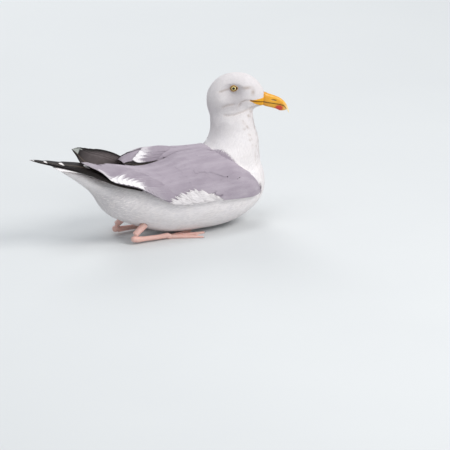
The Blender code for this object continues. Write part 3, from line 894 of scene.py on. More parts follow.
def broad_feather(steps, lanes):
    """A closed vane that thins out to nothing all round its rim, with a rounded end."""
    bm = bmesh.new()
    for thick in (0.5, -0.2):
        made = bmesh.ops.create_grid(bm, x_segments=steps, y_segments=lanes, size=0.5)
        for vert in made["verts"]:
            s, t = vert.co.x + 0.5, vert.co.y * 2
            s = s ** 0.8
            rounded = sqrt(max(1 - max((s - 0.58) / 0.42, 0) ** 2.2, 0.0))
            width = (0.25 + 0.75 * min(s / 0.4, 1) ** 0.7) * max(rounded, 0.12)
            arch = (1 - abs(t) ** 2.4) * min(s / 0.2, 1) * (1 - max((s - 0.8) / 0.2, 0) ** 2)
            end = 1 - 0.05 * t * t if s > 0.98 else s
            vert.co = (end, t * 0.5 * width, thick * arch)
    bmesh.ops.remove_doubles(bm, verts=bm.verts, dist=1e-5)
    return template(bm)


HULL = ((0, 0, 70), (1, 0, 0))      # the body's middle, and the way that it runs


def lay_coat(name, roots, normals, flow, length, width, thick, lift, shape, values, axis=HULL,
             softness=0.6, surface=None, slot="white_plumage", turn=0.12, base=0.0, ragged=0.0):
    """Lay one tuft at each root. Every tuft leaves its root along the flow, follows the surface
    below it and ends a little above it; ragged ends differ from tuft to tuft. The values are
    how grey, how tinted and how soiled each tuft is; in places they carry painted shade as well."""
    surface = surface or SKIN
    corners, faces = shape
    count, many = len(roots), len(corners)
    length, width, thick, lift, *values = (np.broadcast_to(value, count) for value in
                                           (length, width, thick, lift, *values))
    flow = unit(flow - normals * (flow * normals).sum(1, keepdims=True))
    swing = RNG.normal(0, turn, count)[:, None]
    aside = np.cross(normals, flow)
    flow = unit(flow * np.cos(swing) + aside * np.sin(swing))
    aside = np.cross(normals, flow)
    wave = np.sin(corners[None, :, 1] * 9 + RNG.uniform(0, 2 * pi, count)[:, None])
    s = (corners[None, :, 0] * (1 + ragged * wave * corners[None, :, 0] ** 3))[..., None]
    points = (roots[:, None] + flow[:, None] * (length[:, None, None] * s)
              + aside[:, None] * (width[:, None, None] * corners[None, :, 1:2]))
    points, up = surface.nearest(points.reshape(-1, 3))
    rise = (length * np.sin(lift))[:, None] * corners[None, :, 0] ** 1.3 \
        + thick[:, None] * corners[None, :, 2] + base \
        - (0.35 + base) * (1 - corners[None, :, 0]) ** 3
    points = points + up * rise.reshape(-1, 1)
    indices = (faces[None] + (np.arange(count) * many)[:, None, None]).reshape(-1)
    mesh = bpy.data.meshes.new(name)
    mesh.vertices.add(len(points))
    mesh.vertices.foreach_set("co", (points * MM).ravel())
    mesh.loops.add(len(indices))
    mesh.loops.foreach_set("vertex_index", indices)
    mesh.polygons.add(len(indices) // 3)
    mesh.polygons.foreach_set("loop_start", np.arange(0, len(indices), 3))
    mesh.update(calc_edges=True)
    mesh.shade_smooth()
    own = read(mesh.vertices, "normal")
    flat = np.repeat(read(mesh.polygons, "normal"), 3, axis=0)
    above = (flat * up[indices]).sum(1, keepdims=True) > 0.35
    soft = unit(up * softness + own * (1 - softness))[indices]
    mesh.normals_split_custom_set(np.where(above, soft, flat).tolist())
    tip = np.broadcast_to(corners[:, 0], (count, many))
    tones = [np.broadcast_to(value[:, None], (count, many)) for value in values]
    write_coat(mesh, columns(*tones, tip).reshape(-1, 4))
    middle, run = axis
    middle, run = np.array(middle, float), unit(np.array(run, float))
    east = unit(np.cross(run, (0.31, 0.2, 0.93)))
    north = np.cross(run, east)
    away = roots - middle
    u = np.arctan2(away @ north, away @ east) / (2 * pi) + 0.5
    v = away @ run
    v = 0.01 + 0.98 * (v - v.min()) / (v.max() - v.min())
    patch = columns(corners[:, 1] * 0.003, (corners[:, 0] - 0.5) * 0.003)
    uv = columns(0.01 + 0.98 * u, v)[:, None] + patch[None]
    layer = mesh.uv_layers.new(name="OFBake")
    layer.data.foreach_set("uv", uv.reshape(-1, 2)[indices].ravel())
    place(name, mesh, PLUMAGE, slot)


def lie(points):
    """Which way the feathers lie."""
    ahead, _, height = head_place(points)
    from_bill = unit(points - head_point(47, 0, 206))
    down = np.array([-0.22, 0.0, -1.0])
    nape = np.clip(smoothstep(2, -42, ahead) + smoothstep(196, 176, height), 0, 1)[:, None]
    head = unit(from_bill * (1 - nape) + down * nape)
    x, _, z = points.T
    back = columns(-1.0, 0.0, -0.2)
    breast = smoothstep(72, 128, z) * smoothstep(20, 70, x)
    breast = np.maximum(breast, smoothstep(96, 128, x) * smoothstep(34, 70, z) * 0.8)[:, None]
    body = unit(down * breast + back * (1 - breast))
    on_neck = smoothstep(122, 150, z)[:, None]
    return unit(head * on_neck + body * (1 - on_neck))


WINGED = np.isin(REGION, WINGS)
SMALL, LONG_TUFT, COVERT = small_tuft(), broad_feather(4, 2), broad_feather(7, 6)


def spread(value, count, by=0.2):
    return value * (1 + RNG.uniform(-by, by, count))


def collar(points):
    """The uneven height where the neck's feathers give way to the head's."""
    ahead, side, _ = head_place(points)
    return 174 + 4 * np.sin(side * 0.31) + 4 * np.sin(ahead * 0.27 + 1)


def head_plumage():
    middles = SKIN.middles
    ahead, side, height = head_place(middles)
    inside = (height > collar(middles) - 1) & (rictus_mask(middles) < 0.4) & (ahead < 47)
    gap = np.hypot(ahead - EYE[0], height - EYE[2])
    inside &= ~((gap < 6.3) & (np.abs(side) > 10))
    inside &= (SKIN.smooth_normals(np.arange(len(middles)), middles) @ AHEAD < 0.93) | (ahead < 40)

    def spacing(points):
        a, _, h = head_place(points)
        eye_gap = np.hypot(a - EYE[0], h - EYE[2])
        near = np.minimum(smoothstep(44, 8, a), smoothstep(5, 18, eye_gap))
        return 0.72 + 0.42 * near

    roots, normals = SKIN.scatter(inside, spacing)
    size = spacing(roots) / 1.14
    count = len(roots)
    soil_and_shade = soil_and_shade_mask(roots) * (0.6 + 0.5 * RNG.random(count))
    lay_coat("head_plumage", roots, normals, lie(roots), spread(5.6 * size, count),
             spread(1.9 * size, count), spread(0.5 * size, count), 0.085, SMALL,
             (0, face_shade(roots) + 0.15 * RNG.random(count), soil_and_shade),
             (head_point(0, 0, 205), AHEAD))


def neck_plumage():
    z = SKIN.middles[:, 2]
    inside = ~WINGED & (z <= collar(SKIN.middles)) & (z > 104) & (SKIN.middles[:, 0] > 20)
    roots, normals = SKIN.scatter(inside, lambda p: 1.9 - 0.95 * smoothstep(115, 172, p[:, 2]))
    grey = mantle_mask(roots)
    keep = roots[:, 0] > mantle_front(roots) - 16
    roots, normals, grey = roots[keep], normals[keep], grey[keep]
    count = len(roots)
    size = 1 - 0.56 * smoothstep(115, 172, roots[:, 2])
    border = roots + lie(roots) * 12
    # painted shadow: tufts at the wing's bend turn dark, for the shade in the gap there
    bend = bend_shadow_mask(roots + lie(roots) * 8)
    size = size * (1 - 0.5 * mantle_mask(border))
    lay_coat("neck_plumage", roots, normals, lie(roots), spread(14 * size, count, 0.3),
             spread(3.8 * size, count), spread(0.8 * size, count), 0.04,
             LONG_TUFT, (np.maximum(grey, bend), face_shade(roots) + 0.18 * RNG.random(count),
                         np.maximum(soil_and_shade_mask(roots), bend * RNG.random(count))),
             ((86, 0, 140), (0, 0, 1)), softness=0.8)


def body_plumage(name, side):
    x, y, z = SKIN.middles.T
    flank = z < along(FLANK_TOP, x)[0]
    inside = (~WINGED | flank) & ((z <= 106) | (x < -105)) & (y * side >= 0)
    roots, normals = SKIN.scatter(inside, lambda p: np.full(len(p), 2.5))
    count = len(roots)
    # painted shadow: tufts at the wing's bend turn dark, for the shade in the gap there
    bend = bend_shadow_mask(roots + lie(roots) * 9)
    # painted shade: the rear underside is greyed, standing in for the shade under the tail
    shade = 0.35 * smoothstep(-60, -170, roots[:, 0]) * smoothstep(110, 80, roots[:, 2])
    lay_coat(name, roots, normals, lie(roots), spread(17.0, count, 0.3),
             spread(4.4, count), spread(1.1, count),
             0.05, LONG_TUFT,
             (bend, shade + 0.24 * RNG.random(count),
              np.maximum(soil_and_shade_mask(roots) * 0.5, bend * RNG.random(count))), softness=0.7)


def mantle_spacing(points):
    return 1.9 + 1.9 * smoothstep(100, -60, points[:, 0])


def lay_mantle(name, surface, inside, flow, base=0.15):
    """Grey coverts and scapulars, smallest at the shoulder."""
    roots, normals = surface.scatter(inside, mantle_spacing, 2.4)
    count = len(roots)
    size = mantle_spacing(roots) / 3.8
    lay_coat(name, roots, normals, flow(roots), spread(34 * size, count, 0.25),
             spread(9.5 * size, count, 0.15), spread(0.5 * size, count), 0.012, COVERT,
             (1, RNG.random(count), 0), softness=0.8, surface=surface, slot="mantle_plumage",
             turn=0.04, base=base, ragged=0.05)


UNDER_NECK = np.array([1.0, 0.0, 0.0])      # how far grey roots reach under white feathers


def mantle_plumage():
    for side, word, rear in ((-1, "right", -128), (1, "left", -98)):
        arm = ARMS[side]
        x, y, z = arm.middles.T
        inside = (mantle_mask(arm.middles - UNDER_NECK) > 0.5) & (x > rear)
        reach = 34 - 16 * smoothstep(-60, 100, x)
        inside &= z > np.maximum(along(FLANK_TOP, x)[0], along(FLANK_TOP, x - reach)[0]) + 1

        def flow(roots):
            fall = -0.10 * smoothstep(100, 20, roots[:, 0])
            return columns(-1.0, -side * 0.04, fall)

        lay_mantle(word + "_mantle", arm, inside, flow)
    lay_mantle("middle_mantle", BETWEEN, BETWEEN.middles[:, 0] < 46,
               lambda roots: np.tile([-1.0, 0.0, -0.05], (len(roots), 1)))
    x, y, z = SKIN.middles.T
    arm_top = along([(row[0], row[3]) for row in RIGHT_ARM], x)[0]
    lay_mantle("shoulder_mantle", SKIN, (mantle_mask(SKIN.middles) > 0.95) & (x > 36)
               & (z > 84) & (np.abs(y) < arm_top + 4) & (np.abs(y) > 18),
               lambda roots: np.tile([-1.0, 0.0, -0.05], (len(roots), 1)), 0.5)


def scapulars():
    """Scapulars of the right wing whose ends stand over the coverts in a short curved step."""
    s = np.linspace(0, 1, 13)
    ends = columns(-12 + 46 * s, -52.0, 119 - 3 * s - 20 * s ** 2)
    roots, normals = ARMS[-1].nearest(ends + np.array([26.0, 0.0, 9.0]))
    lay_coat("scapulars", roots, normals, np.tile([-1.0, 0.0, -0.36], (13, 1)),
             spread(28.0, 13, 0.06), 9.5, 0.5, 0.022, COVERT, (1, RNG.random(13), 0),
             softness=0.8, surface=ARMS[-1], slot="mantle_plumage", turn=0.03, base=0.4,
             ragged=0.05)


def lay_flank(name, surface, inside, base):
    """White flank feathers that brush up over the lower edge of a wing, in overlapping tufts."""
    roots, normals = surface.scatter(inside, lambda p: np.full(len(p), 1.15))
    count = len(roots)
    # painted shade: the tufts are greyed, most at the edges of each clump, for the shade on the
    # flank and between its clumps
    place_in = ((roots[:, 0] + 0.8 * roots[:, 2]) / 19) % 1
    full = np.sin(pi * place_in)
    flow = columns(-0.9, 0.0, 0.15 + 0.5 * place_in + 0.12 * RNG.random(count))
    lay_coat(name, roots, normals, flow, spread(9 + 9 * full, count, 0.25),
             spread(1.5, count), spread(0.7, count),
             0.02 + 0.05 * place_in, LONG_TUFT,
             (0, 0.12 + 0.55 * (1 - full) + 0.2 * RNG.random(count), 0), softness=0.75,
             surface=surface, turn=0.14, base=base, ragged=0.1)


def flank_plumage():
    x, y, z = SKIN.middles.T
    below = np.minimum(along(FLANK_TOP, x)[0], low_edge(SKIN.middles)) - z
    lay_flank("flank_plumage", SKIN, (x > -68) & (x < 54) & (np.abs(y) > 40) & (below > 1)
              & (below < 8), 2.1)
    for side, word in SIDES:
        arm = ARMS[side]
        x, y, z = arm.middles.T
        lay_flank(word + "_wing_flank", arm, (z < along(FLANK_TOP, x)[0] - 4) & (x < 100), 1.0)


def dark_plumage():
    """Two nicks in the coverts of the right wing, drawn as dark tufts: painted shade for the gaps.
    """
    roots, normals = ARMS[-1].nearest(np.array([[43.0, -62, 101], [63.0, -60, 91.5],
                                                [60.0, -60, 90.0]]))
    lay_coat("covert_nicks", roots, normals, np.array([[0.5, 0, -1], [1, 0, 0.35], [1, 0, 0.5]]),
             np.array([3.2, 3.6, 2.4]), np.array([1.2, 1.0, 0.8]), 0.4, 0.03, LONG_TUFT,
             (1, 1, 1), surface=ARMS[-1], base=1.1)


def tertials(name, sheet, feathers, finish_with):
    """Long feathers with white ends at the rear of an arm. A feather runs from a place on the
    sheet, given as X and height up the sheet, to its tip; later ones lie on top."""
    parts = []
    for order, (x0, up0, x1, up1, wide, white) in enumerate(feathers):
        def spot(s, t):
            rounded = round_end(s, 0.80, 0.20)
            x = x0 + (x1 - x0) * s
            foot, head = sheet(x, 0.0, 0.0), sheet(x, 1.0, 0.0)
            span = np.linalg.norm(head - foot, axis=1)
            up = up0 + (up1 - up0) * s ** 1.5
            wide_here = wide * rounded * np.clip(0.25 + s / 0.4, 0, 1)
            up = np.minimum(up + (t - 0.5) * wide_here / np.maximum(span, 12), 1.02)
            x = x + 7 * np.abs(t - 0.5) ** 2 * s
            shaft = 0.25 * bell((t - 0.5) / 0.05)
            rise = 1.4 * s - 1.6 * (1 - s) ** 4 + order * 0.05 + shaft - 1.0 * (t - 0.5) ** 2
            return sheet(x, up, rise)

        def marks(s, t):
            to_tip = (1 - s) * abs(x1 - x0) / VANE_UNIT + (0 if white else 0.04)
            return columns(to_tip, t, (order % 4) / 4, float(white))

        parts.append(thicken(grid(40, 12, spot, marks), 0.3))
    as_piece(name, join_all(parts), finish_with, "mantle_plumage")


def tertial_finish(white_from, white_to):
    """Grey vanes whose ends turn white in ragged streaks."""
    made = finish("tertials", roughness=0.7, Sheen_Weight=0.1, Specular_IOR_Level=0.25)
    n = made[1]
    to_tip, across, tint, white = n.split("marks")
    mm = n.sum("MULTIPLY", to_tip, VANE_UNIT)
    height, mask = barbs(n, to_tip, across, 0.5, 150.0, 0.16)
    cloud, fine = mottle(n, 60.0, 1.6), mottle(n, 700.0, 1.4, 2.0)
    vane = n.mix(cloud, MANTLE, MANTLE_DARK)
    vane = n.mix(tint, vane, MANTLE_PALE, 0.35)
    edge = n.sum("ABSOLUTE", n.sum("SUBTRACT", across, 0.5))
    ragged = n.sum("ADD", n.sum("MULTIPLY_ADD", mask, 4.0, -2.0),
                   n.sum("MULTIPLY_ADD", fine, 12.0, -6.0))
    reach = n.sum("SUBTRACT", n.sum("ADD", mm, ragged), n.sum("MULTIPLY", edge, 16.0))
    vane = n.mix(n.band(reach, white_from, white_to), vane, WHITE, white)
    vane = n.mix(mask, vane, SHADE_WHITE, 0.10)
    return finished(made, vane, height, 0.0002, 0.5)


head_plumage()
neck_plumage()
body_plumage("right_body_plumage", -1)
body_plumage("left_body_plumage", 1)
mantle_plumage()
scapulars()
flank_plumage()
dark_plumage()
TERTIALS = tertial_finish(16, 6)
# Secondaries first, low on the arm, then the tertials that end towards the tip of the wing.
tertials("right_tertials", lambda x, up, lift: arm_spot(RIGHT_ARM, -1, x, up, -lift), [
    (x + 52 + 1.5 * i, 0.12 + 0.045 * i, x, 0.05, 12.5 + 0.3 * i,
     0.12 + 0.88 * float(smoothstep(-184, -170, x) * smoothstep(-108, -124, x))) for i, x in
    enumerate((-90, -96, -102, -109, -116, -123, -130, -138, -146, -154, -162, -170, -178, -186,
               -193, -200))
], TERTIALS)
tertials("left_tertials", lambda x, up, lift: arm_spot(LEFT_ARM, 1, x, up, -lift), [
    (-30, 0.20, -96, 0.10, 15, 1), (-28, 0.34, -104, 0.25, 16, 1), (-24, 0.48, -109, 0.42, 17, 1),
    (-20, 0.62, -110, 0.60, 18, 1), (-16, 0.76, -106, 0.78, 18, 0.6),
    (-10, 0.9, -98, 0.92, 17, 0.3),
], TERTIALS)
tertials("inner_tertials", saddle_spot, [
    (-40, 0.34, -98, 0.40, 12, 1), (-34, 0.50, -92, 0.58, 12, 1), (-28, 0.64, -86, 0.74, 12, 1),
    (-20, 0.78, -80, 0.9, 12, 0.5),
], TERTIALS)


# ---------------------------------------------------------------- bill

UPPER_BILL = [              # along the head's axis: bottom, top, half width
    (36, 204.0, 215.0, 5.0), (42, 202.4, 216.6, 7.1), (45.5, 201.9, 216.4, 7.5),
    (50, 200.7, 214.2, 7.0), (59, 198.9, 211.2, 5.8), (69, 197.0, 206.9, 4.9),
    (75, 195.4, 202.2, 4.2), (79, 191.2, 197.6, 3.2), (82.2, 185.4, 191.4, 2.1),
    (84.4, 180.6, 184.0, 0.7),
]
LOWER_BILL = [
    (36, 198.0, 202.6, 4.0), (42, 195.0, 202.0, 6.5), (46.5, 193.0, 201.1, 6.9),
    (54, 191.0, 199.5, 5.6), (64, 188.0, 197.7, 4.6), (71, 185.2, 196.2, 3.9),
    (76.5, 185.6, 193.4, 3.2), (80.5, 186.6, 188.4, 1.2),
]


def bill_half(rows, ridge, steps, around):
    """Half the bill: ridge is 1 where it is rounded above, and -1 where it is below."""
    first, last = rows[0][0], rows[-1][0]

    def section(s, t):
        s = 1 - (1 - s) ** 1.25
        at = first + (last - first) * s
        low, high, half = curved(rows, at)
        turn = 2 * pi * t
        across, up = np.cos(turn), np.sin(turn)
        side = half * np.sign(across) * np.abs(across) ** 0.72
        tall = high - low
        dome = np.abs(up) ** 0.9 * tall
        edge = low if ridge > 0 else high
        palate = -0.10 * np.abs(up) ** 0.8 * tall
        height = edge + ridge * np.where(up * ridge > 0, dome, -palate)
        return at, side, height

    def spot(s, t):
        at, side, height = section(s, t)
        slit = nostril(at, side, height) if ridge > 0 else 0
        side = side - np.sign(side) * 1.6 * slit
        return head_point(at, side, height)

    def marks(s, t):
        at, side, height = section(s, t)
        red = bell((at - 68.3) / 6.4, (height - 190.2) / 5.4) * (ridge < 0)
        red += 0.35 * bell((at - 71) / 4, (height - 198.5) / 1.6) * (ridge > 0)
        pale = smoothstep(74, 83, at) * (0.35 + 0.65 * smoothstep(200, 186, height))
        # painted shade: dark along the mouth line where the two halves meet, and in the nostril's
        # slit
        edge = np.abs(height - (curved(rows, at)[0] if ridge > 0 else curved(rows, at)[1]))
        dark = 0.75 * bell(edge / 0.7) * smoothstep(82, 74, at)
        dark += 1.3 * nostril(at, side, height) if ridge > 0 else 0
        return columns(red, pale, np.clip(dark, 0, 1), smoothstep(60, 44, at))

    return grid(steps, around, spot, marks, wrap=True)


def nostril(ahead, side, height):
    """1 inside the narrow slit of the nostril, fading to 0 outside it."""
    run = (ahead - 59.8) * cos(0.18) - (height - 204.2) * sin(0.18)
    rise = (ahead - 59.8) * sin(0.18) + (height - 204.2) * cos(0.18)
    tall = 0.75 + 0.07 * np.clip(run, -5, 5)
    return np.exp(-(np.abs(run / 4.3) ** 4 + (np.abs(rise) / tall) ** 3)) * (np.abs(side) > 2)


def bill_finish():
    made = finish("bill_horn", roughness=0.36, Coat_Weight=0.25, Coat_Roughness=0.25)
    n = made[1]
    red, pale, dark, base = n.split("marks")
    cloud, fine = mottle(n, 160.0, 1.6), mottle(n, 900.0, 1.4, 4.0)
    yellow = n.mix(cloud, paint(220, 150, 28), paint(243, 186, 42))
    yellow = n.mix(base, yellow, paint(220, 152, 34), 0.8)
    yellow = n.mix(fine, yellow, paint(196, 126, 28), 0.32)
    horn = n.mix(pale, yellow, paint(236, 220, 170), 0.9)
    ragged = n.sum("MULTIPLY_ADD", fine, 0.9, -0.45)
    spot = n.band(n.sum("ADD", red, n.sum("MULTIPLY", ragged, 0.5)), 0.18, 0.6)
    horn = n.mix(spot, horn, paint(200, 32, 32), 0.92)
    # painted shade along the mouth line and in the nostril
    horn = n.mix(dark, horn, paint(52, 30, 14), 0.9)
    return finished(made, horn, n.sum("ADD", fine, cloud), 0.00025, 0.45,
                    n.sum("MULTIPLY_ADD", fine, 0.18, 0.28))


BILL_FINISH = bill_finish()
as_piece("upper_bill_horn", bill_half(UPPER_BILL, 1, 130, 97), BILL_FINISH, "bill", "upper_bill")
as_piece("lower_bill_horn", bill_half(LOWER_BILL, -1, 80, 57), BILL_FINISH, "bill", "lower_bill")


# ---------------------------------------------------------------- eyes

def eye_finish():
    material, n, shader = finish("eye", roughness=0.2, Coat_Weight=0.45, Coat_Roughness=0.015,
                                 Specular_IOR_Level=0.1)
    out, turn, _, _ = n.split("marks")
    fine = mottle(n, 1500.0, 1.4, 4.0)
    ray = n.sum("MULTIPLY_ADD", n.sum("SINE", n.sum("MULTIPLY", turn, 2 * pi * 46)), 0.5, 0.5)
    iris = n.mix(ray, paint(240, 226, 160), paint(222, 192, 110), 0.35)
    iris = n.mix(fine, iris, paint(214, 196, 140), 0.4)
    radius = n.sum("MULTIPLY", out, EYE_UNIT)

    def inside(limit, soft):
        return n.band(radius, limit + soft, limit - soft)

    rim = n.mix(inside(IRIS - 0.35, 0.25), paint(150, 110, 50), iris)
    eye = n.mix(inside(IRIS, 0.12), paint(22, 15, 12), rim)
    eye = n.mix(inside(PUPIL + 0.25, 0.3), eye, paint(120, 84, 40))
    eye = n.mix(inside(PUPIL, 0.10), eye, paint(6, 5, 6))
    n.join((eye, shader.inputs["Base Color"]))
    return material


def eyeball(side):
    """The ball, with its iris on the side that looks out."""
    def spot(s, t):
        rise, turn = pi * s, 2 * pi * t
        out, ahead, up = np.cos(rise), np.sin(rise) * np.cos(turn), np.sin(rise) * np.sin(turn)
        cornea = 1 + 0.02 * smoothstep(0.62, 0.2, rise)
        return head_point(EYE[0] + EYE_RADIUS * ahead * cornea,
                          side * (EYE[1] + EYE_RADIUS * out * cornea),
                          EYE[2] + EYE_RADIUS * up * cornea)

    def marks(s, t):
        out = np.where(s < 0.5, EYE_RADIUS * np.sin(pi * s), EYE_RADIUS) / EYE_UNIT
        return columns(out, t, 0.0, 1.0)

    return grid(49, 65, spot, marks, wrap=True)


def lids(side):
    """The bare ring round the eye, drawn out to a point in front and a little behind."""
    def spot(s, t):
        turn, roll = 2 * pi * s, 2 * pi * t
        reach = lid_reach(turn)
        width = 0.62 + 0.06 * np.sin(turn * 17) * np.cos(turn * 5)
        radius = reach + width * 0.9 + np.cos(roll) * width
        ball = np.sqrt((EYE_RADIUS + 0.1) ** 2 - np.minimum(reach, 5.3) ** 2)
        out = EYE[1] + ball + 0.25 + np.sin(roll) * 0.6 - 0.2 * (radius - reach)
        return head_point(EYE[0] + radius * np.cos(turn), side * out,
                          EYE[2] + radius * np.sin(turn))

    def marks(s, t):
        inner = smoothstep(0.2, -0.9, np.cos(2 * pi * t))
        return columns(inner, s, t, 1.0)

    return grid(121, 17, spot, marks, wrap=True, ring=True)


def lid_finish():
    made = finish("orbital_ring", roughness=0.45)
    n = made[1]
    inner = n.split("marks")[0]
    fine = mottle(n, 1300.0, 1.6, 3.0)
    ring = n.mix(fine, paint(206, 152, 50), paint(160, 106, 34))
    ring = n.mix(inner, ring, paint(70, 44, 20), 0.85)
    return finished(made, ring, fine, 0.0002, 0.6)


EYE_FINISH, LID_FINISH = eye_finish(), lid_finish()
for side, word in SIDES:
    as_piece(word + "_eyeball", eyeball(side), EYE_FINISH, "eye", word + "_eye")
    as_piece(word + "_eyelids", lids(side), LID_FINISH, "bare_skin")


# ---------------------------------------------------------------- flight feathers

RIGHT_HAND = [              # leading edge, then trailing edge, from under the arm to the tip
    (-88, -60, 87, -88, -30, 110),
    (-112, -54, 98, -112, -22, 122), (-150, -51.5, 111, -150, -12, 131),
    (-175, -43.5, 122.5, -175, -4, 138.5), (-203, -31, 136, -197, 3, 144),
    (-228, -23, 144.5, -225, 5.5, 149), (-254, -12, 152.5, -250, 5.5, 155),
    (-273, -6, 158.5, -272, 3.5, 161), (-288.3, -1.5, 164.5, -288.3, 0, 165),
]
LEFT_HAND = [
    (-70, 60, 90, -66, 24, 112),
    (-96, 50, 98, -92, 24, 124), (-130, 38, 109, -122, 20, 142.5),
    (-160, 24, 121, -146, 16, 153), (-182, 12, 131, -166, 12, 159),
    (-195, 4, 144, -183, 7, 165), (-205, -3, 157, -197, 1, 170),
    (-213, -8, 167, -208, -6, 173), (-219, -12, 174, -218, -12, 174.6),
]
LAYER = 0.42                # how far one folded feather lies above the next


def hand(edges, ends, spans, dorsal, full):
    """Folded primaries: each feather ends at its share of the hand and lies over the one
    outside it. spans gives where each starts and stops across the hand at its root and tip."""
    table = [((i - 1) / (len(edges) - 2), *row) for i, row in enumerate(edges)]
    start = table[0][0] * 0.9
    feathers = []
    for order, (end, (lead_root, trail_root, lead_tip, trail_tip)) in enumerate(
            zip(ends, spans)):
        def spot(s, t):
            share = start + (end - start) * s
            values = columns(*curved(table, share))
            lead, trail = values[:, :3], values[:, 3:]
            ahead = unit(columns(*curved(table, np.minimum(share + 0.02, 1))[:3])
                         - columns(*curved(table, np.maximum(share - 0.02, 0))[:3]))
            up = unit(np.cross(trail - lead + 1e-6, ahead)) * dorsal
            left = lead_root + (lead_tip - lead_root) * s
            right = trail_root + (trail_tip - trail_root) * s
            rounded = round_end(s, 0.90, 0.10)
            middle = left + (right - left) * 0.42
            across = middle + ((left + (right - left) * t) - middle) * rounded
            shaft = 0.45 * bell((t - SHAFT) / 0.05) * (1 - 0.6 * s)
            curl = 0.9 * (t - SHAFT) ** 2 * np.sin(pi * np.clip(s, 0, 1))
            level = (order - (len(ends) - 1) / 2) * LAYER
            return lead + (trail - lead) * across[:, None] \
                + up * (level + shaft - curl - 0.3)[:, None]

        def marks(s, t):
            return columns((1 - s) * full * end / VANE_UNIT, t, order / 8, float(order < 2))

        feathers.append(thicken(grid(64, 15, spot, marks), 0.34))
    return join_all(feathers)


def flight_finish(name, dark, base, fade_from, fade_to, mirror, spot_ends):
    """Dark flight feathers: black towards a white tip, greyer towards the root."""
    made = finish(name, roughness=0.55, Specular_IOR_Level=0.2)
    n = made[1]
    to_tip, across, _, big = n.split("marks")
    mm = n.sum("MULTIPLY", to_tip, VANE_UNIT)
    height, mask = barbs(n, to_tip, across, SHAFT, 170.0, 0.12)
    cloud, fine = mottle(n, 90.0, 1.6), mottle(n, 1100.0, 1.4, 2.0)
    vane = n.mix(n.band(mm, fade_from, fade_to), dark, base)
    vane = n.mix(cloud, vane, BROWN_BLACK, 0.3)
    vane = n.mix(mask, vane, SLATE, 0.05)
    wavy = n.sum("ADD", mm, n.sum("MULTIPLY_ADD", fine, 2.4, -1.2))
    if mirror:
        window = n.sum("MULTIPLY", n.band(wavy, 4, 5.5), n.band(wavy, 44, 40))
        inner = n.sum("MULTIPLY", n.band(across, SHAFT, 0.40), n.band(across, 0.99, 0.94))
        spot = n.sum("MULTIPLY", n.sum("MULTIPLY", window, inner), n.band(big, 0.6, 0.9))
        vane = n.mix(spot, vane, paint(186, 190, 184), mirror)
    across_tip = n.sum("MULTIPLY", n.band(across, 0.06, 0.14), n.band(across, 0.80, 0.66))
    white_tip = n.sum("MULTIPLY", n.band(wavy, *spot_ends), across_tip)
    vane = n.mix(white_tip, vane, paint(236, 232, 230))
    shaft = n.band(n.sum("ABSOLUTE", n.sum("SUBTRACT", across, SHAFT)), 0.035, 0.012)
    vane = n.mix(shaft, vane, paint(150, 132, 112), 0.5)
    return finished(made, vane, height, 0.00014, 0.4, n.sum("MULTIPLY_ADD", fine, 0.25, 0.4))


ENDS = (1.0, 0.955, 0.79, 0.63, 0.40, 0.28)
SPANS = ((0.0, 0.62, 0.0, 1.0), (0.08, 0.70, 0.06, 0.98), (0.16, 0.80, 0.14, 1.0),
         (0.26, 0.88, 0.30, 1.0), (0.36, 0.95, 0.45, 1.0), (0.45, 1.0, 0.55, 1.0))
as_piece("right_primary_vanes", hand(RIGHT_HAND, ENDS, SPANS, 1, 195),
         flight_finish("right_flight_feathers", SOOT, BROWN_BLACK, 120, 200, 0.0, (7.5, 6)),
         "flight_feathers", "right_primaries")
LEFT_ENDS = (1.0, 0.93, 0.84, 0.74, 0.63, 0.52, 0.42)
LEFT_SPANS = ((0.0, 0.60, 0.0, 0.9), (0.10, 0.70, 0.12, 0.98), (0.2, 0.78, 0.3, 1.0),
              (0.3, 0.85, 0.42, 1.0), (0.4, 0.90, 0.52, 1.0), (0.5, 0.95, 0.6, 1.0),
              (0.6, 1.0, 0.66, 1.0))
as_piece("left_primary_vanes", hand(LEFT_HAND, LEFT_ENDS, LEFT_SPANS, -1, 157),
         flight_finish("left_flight_feathers", SOOT, SLATE, 42, 100, 0.85, (2.2, 1.2)),
         "flight_feathers", "left_primaries")

tertials("left_inner_vanes", saddle_spot,
         [(-50, 0.10, -114, 0.20, 7, 0), (-48, 0.04, -104, 0.10, 6, 0)],
         bpy.data.materials["left_flight_feathers"])

TAIL = [                    # along X: height of the middle
    (-251, 147.8), (-247, 147.6), (-230, 144.5), (-210, 138.3), (-190, 129.8), (-165, 117.5),
    (-140, 105),
]
TAIL_HALF = [(-247, 25.6), (-230, 26.5), (-210, 27), (-165, 26), (-140, 22)]


def tail_fan():
    """Twelve white feathers, the middle pair on top."""
    feathers = []
    for k in sorted(range(12), key=lambda k: -abs(k - 5.5)):
        place_across = (k - 5.5) / 6
        rank = abs(k - 5.5)

        def spot(s, t):
            rear = TAIL[0][0] + 5 * place_across ** 4 + 0.5
            x = TAIL[-1][0] + (rear - TAIL[-1][0]) * s
            height = curved(TAIL, x)[0]
            half = curved(TAIL_HALF, np.maximum(x, TAIL_HALF[0][0]))[0]
            rounded = round_end(s, 0.93, 0.07, 2.4, 0.01)
            wide = 5.2 * (0.8 + 0.2 * s) * rounded
            across = place_across * half + (t - 0.5) * 2 * wide * 1.02
            across = np.clip(across, -half, half)
            part = across / half
            shaft = 0.35 * bell((t - 0.5) / 0.04)
            drop = 2.5 * part ** 2 + rank * 0.22 + 0.5 * (t - 0.5) ** 2
            return columns(x, across, height - drop + shaft + 0.6)

        def marks(s, t):
            length = TAIL[-1][0] - TAIL[0][0] - 1
            return columns((1 - s) * length / VANE_UNIT, t, rank / 6, 1.0)

        feathers.append(thicken(grid(44, 11, spot, marks), 0.3))
    return join_all(feathers)


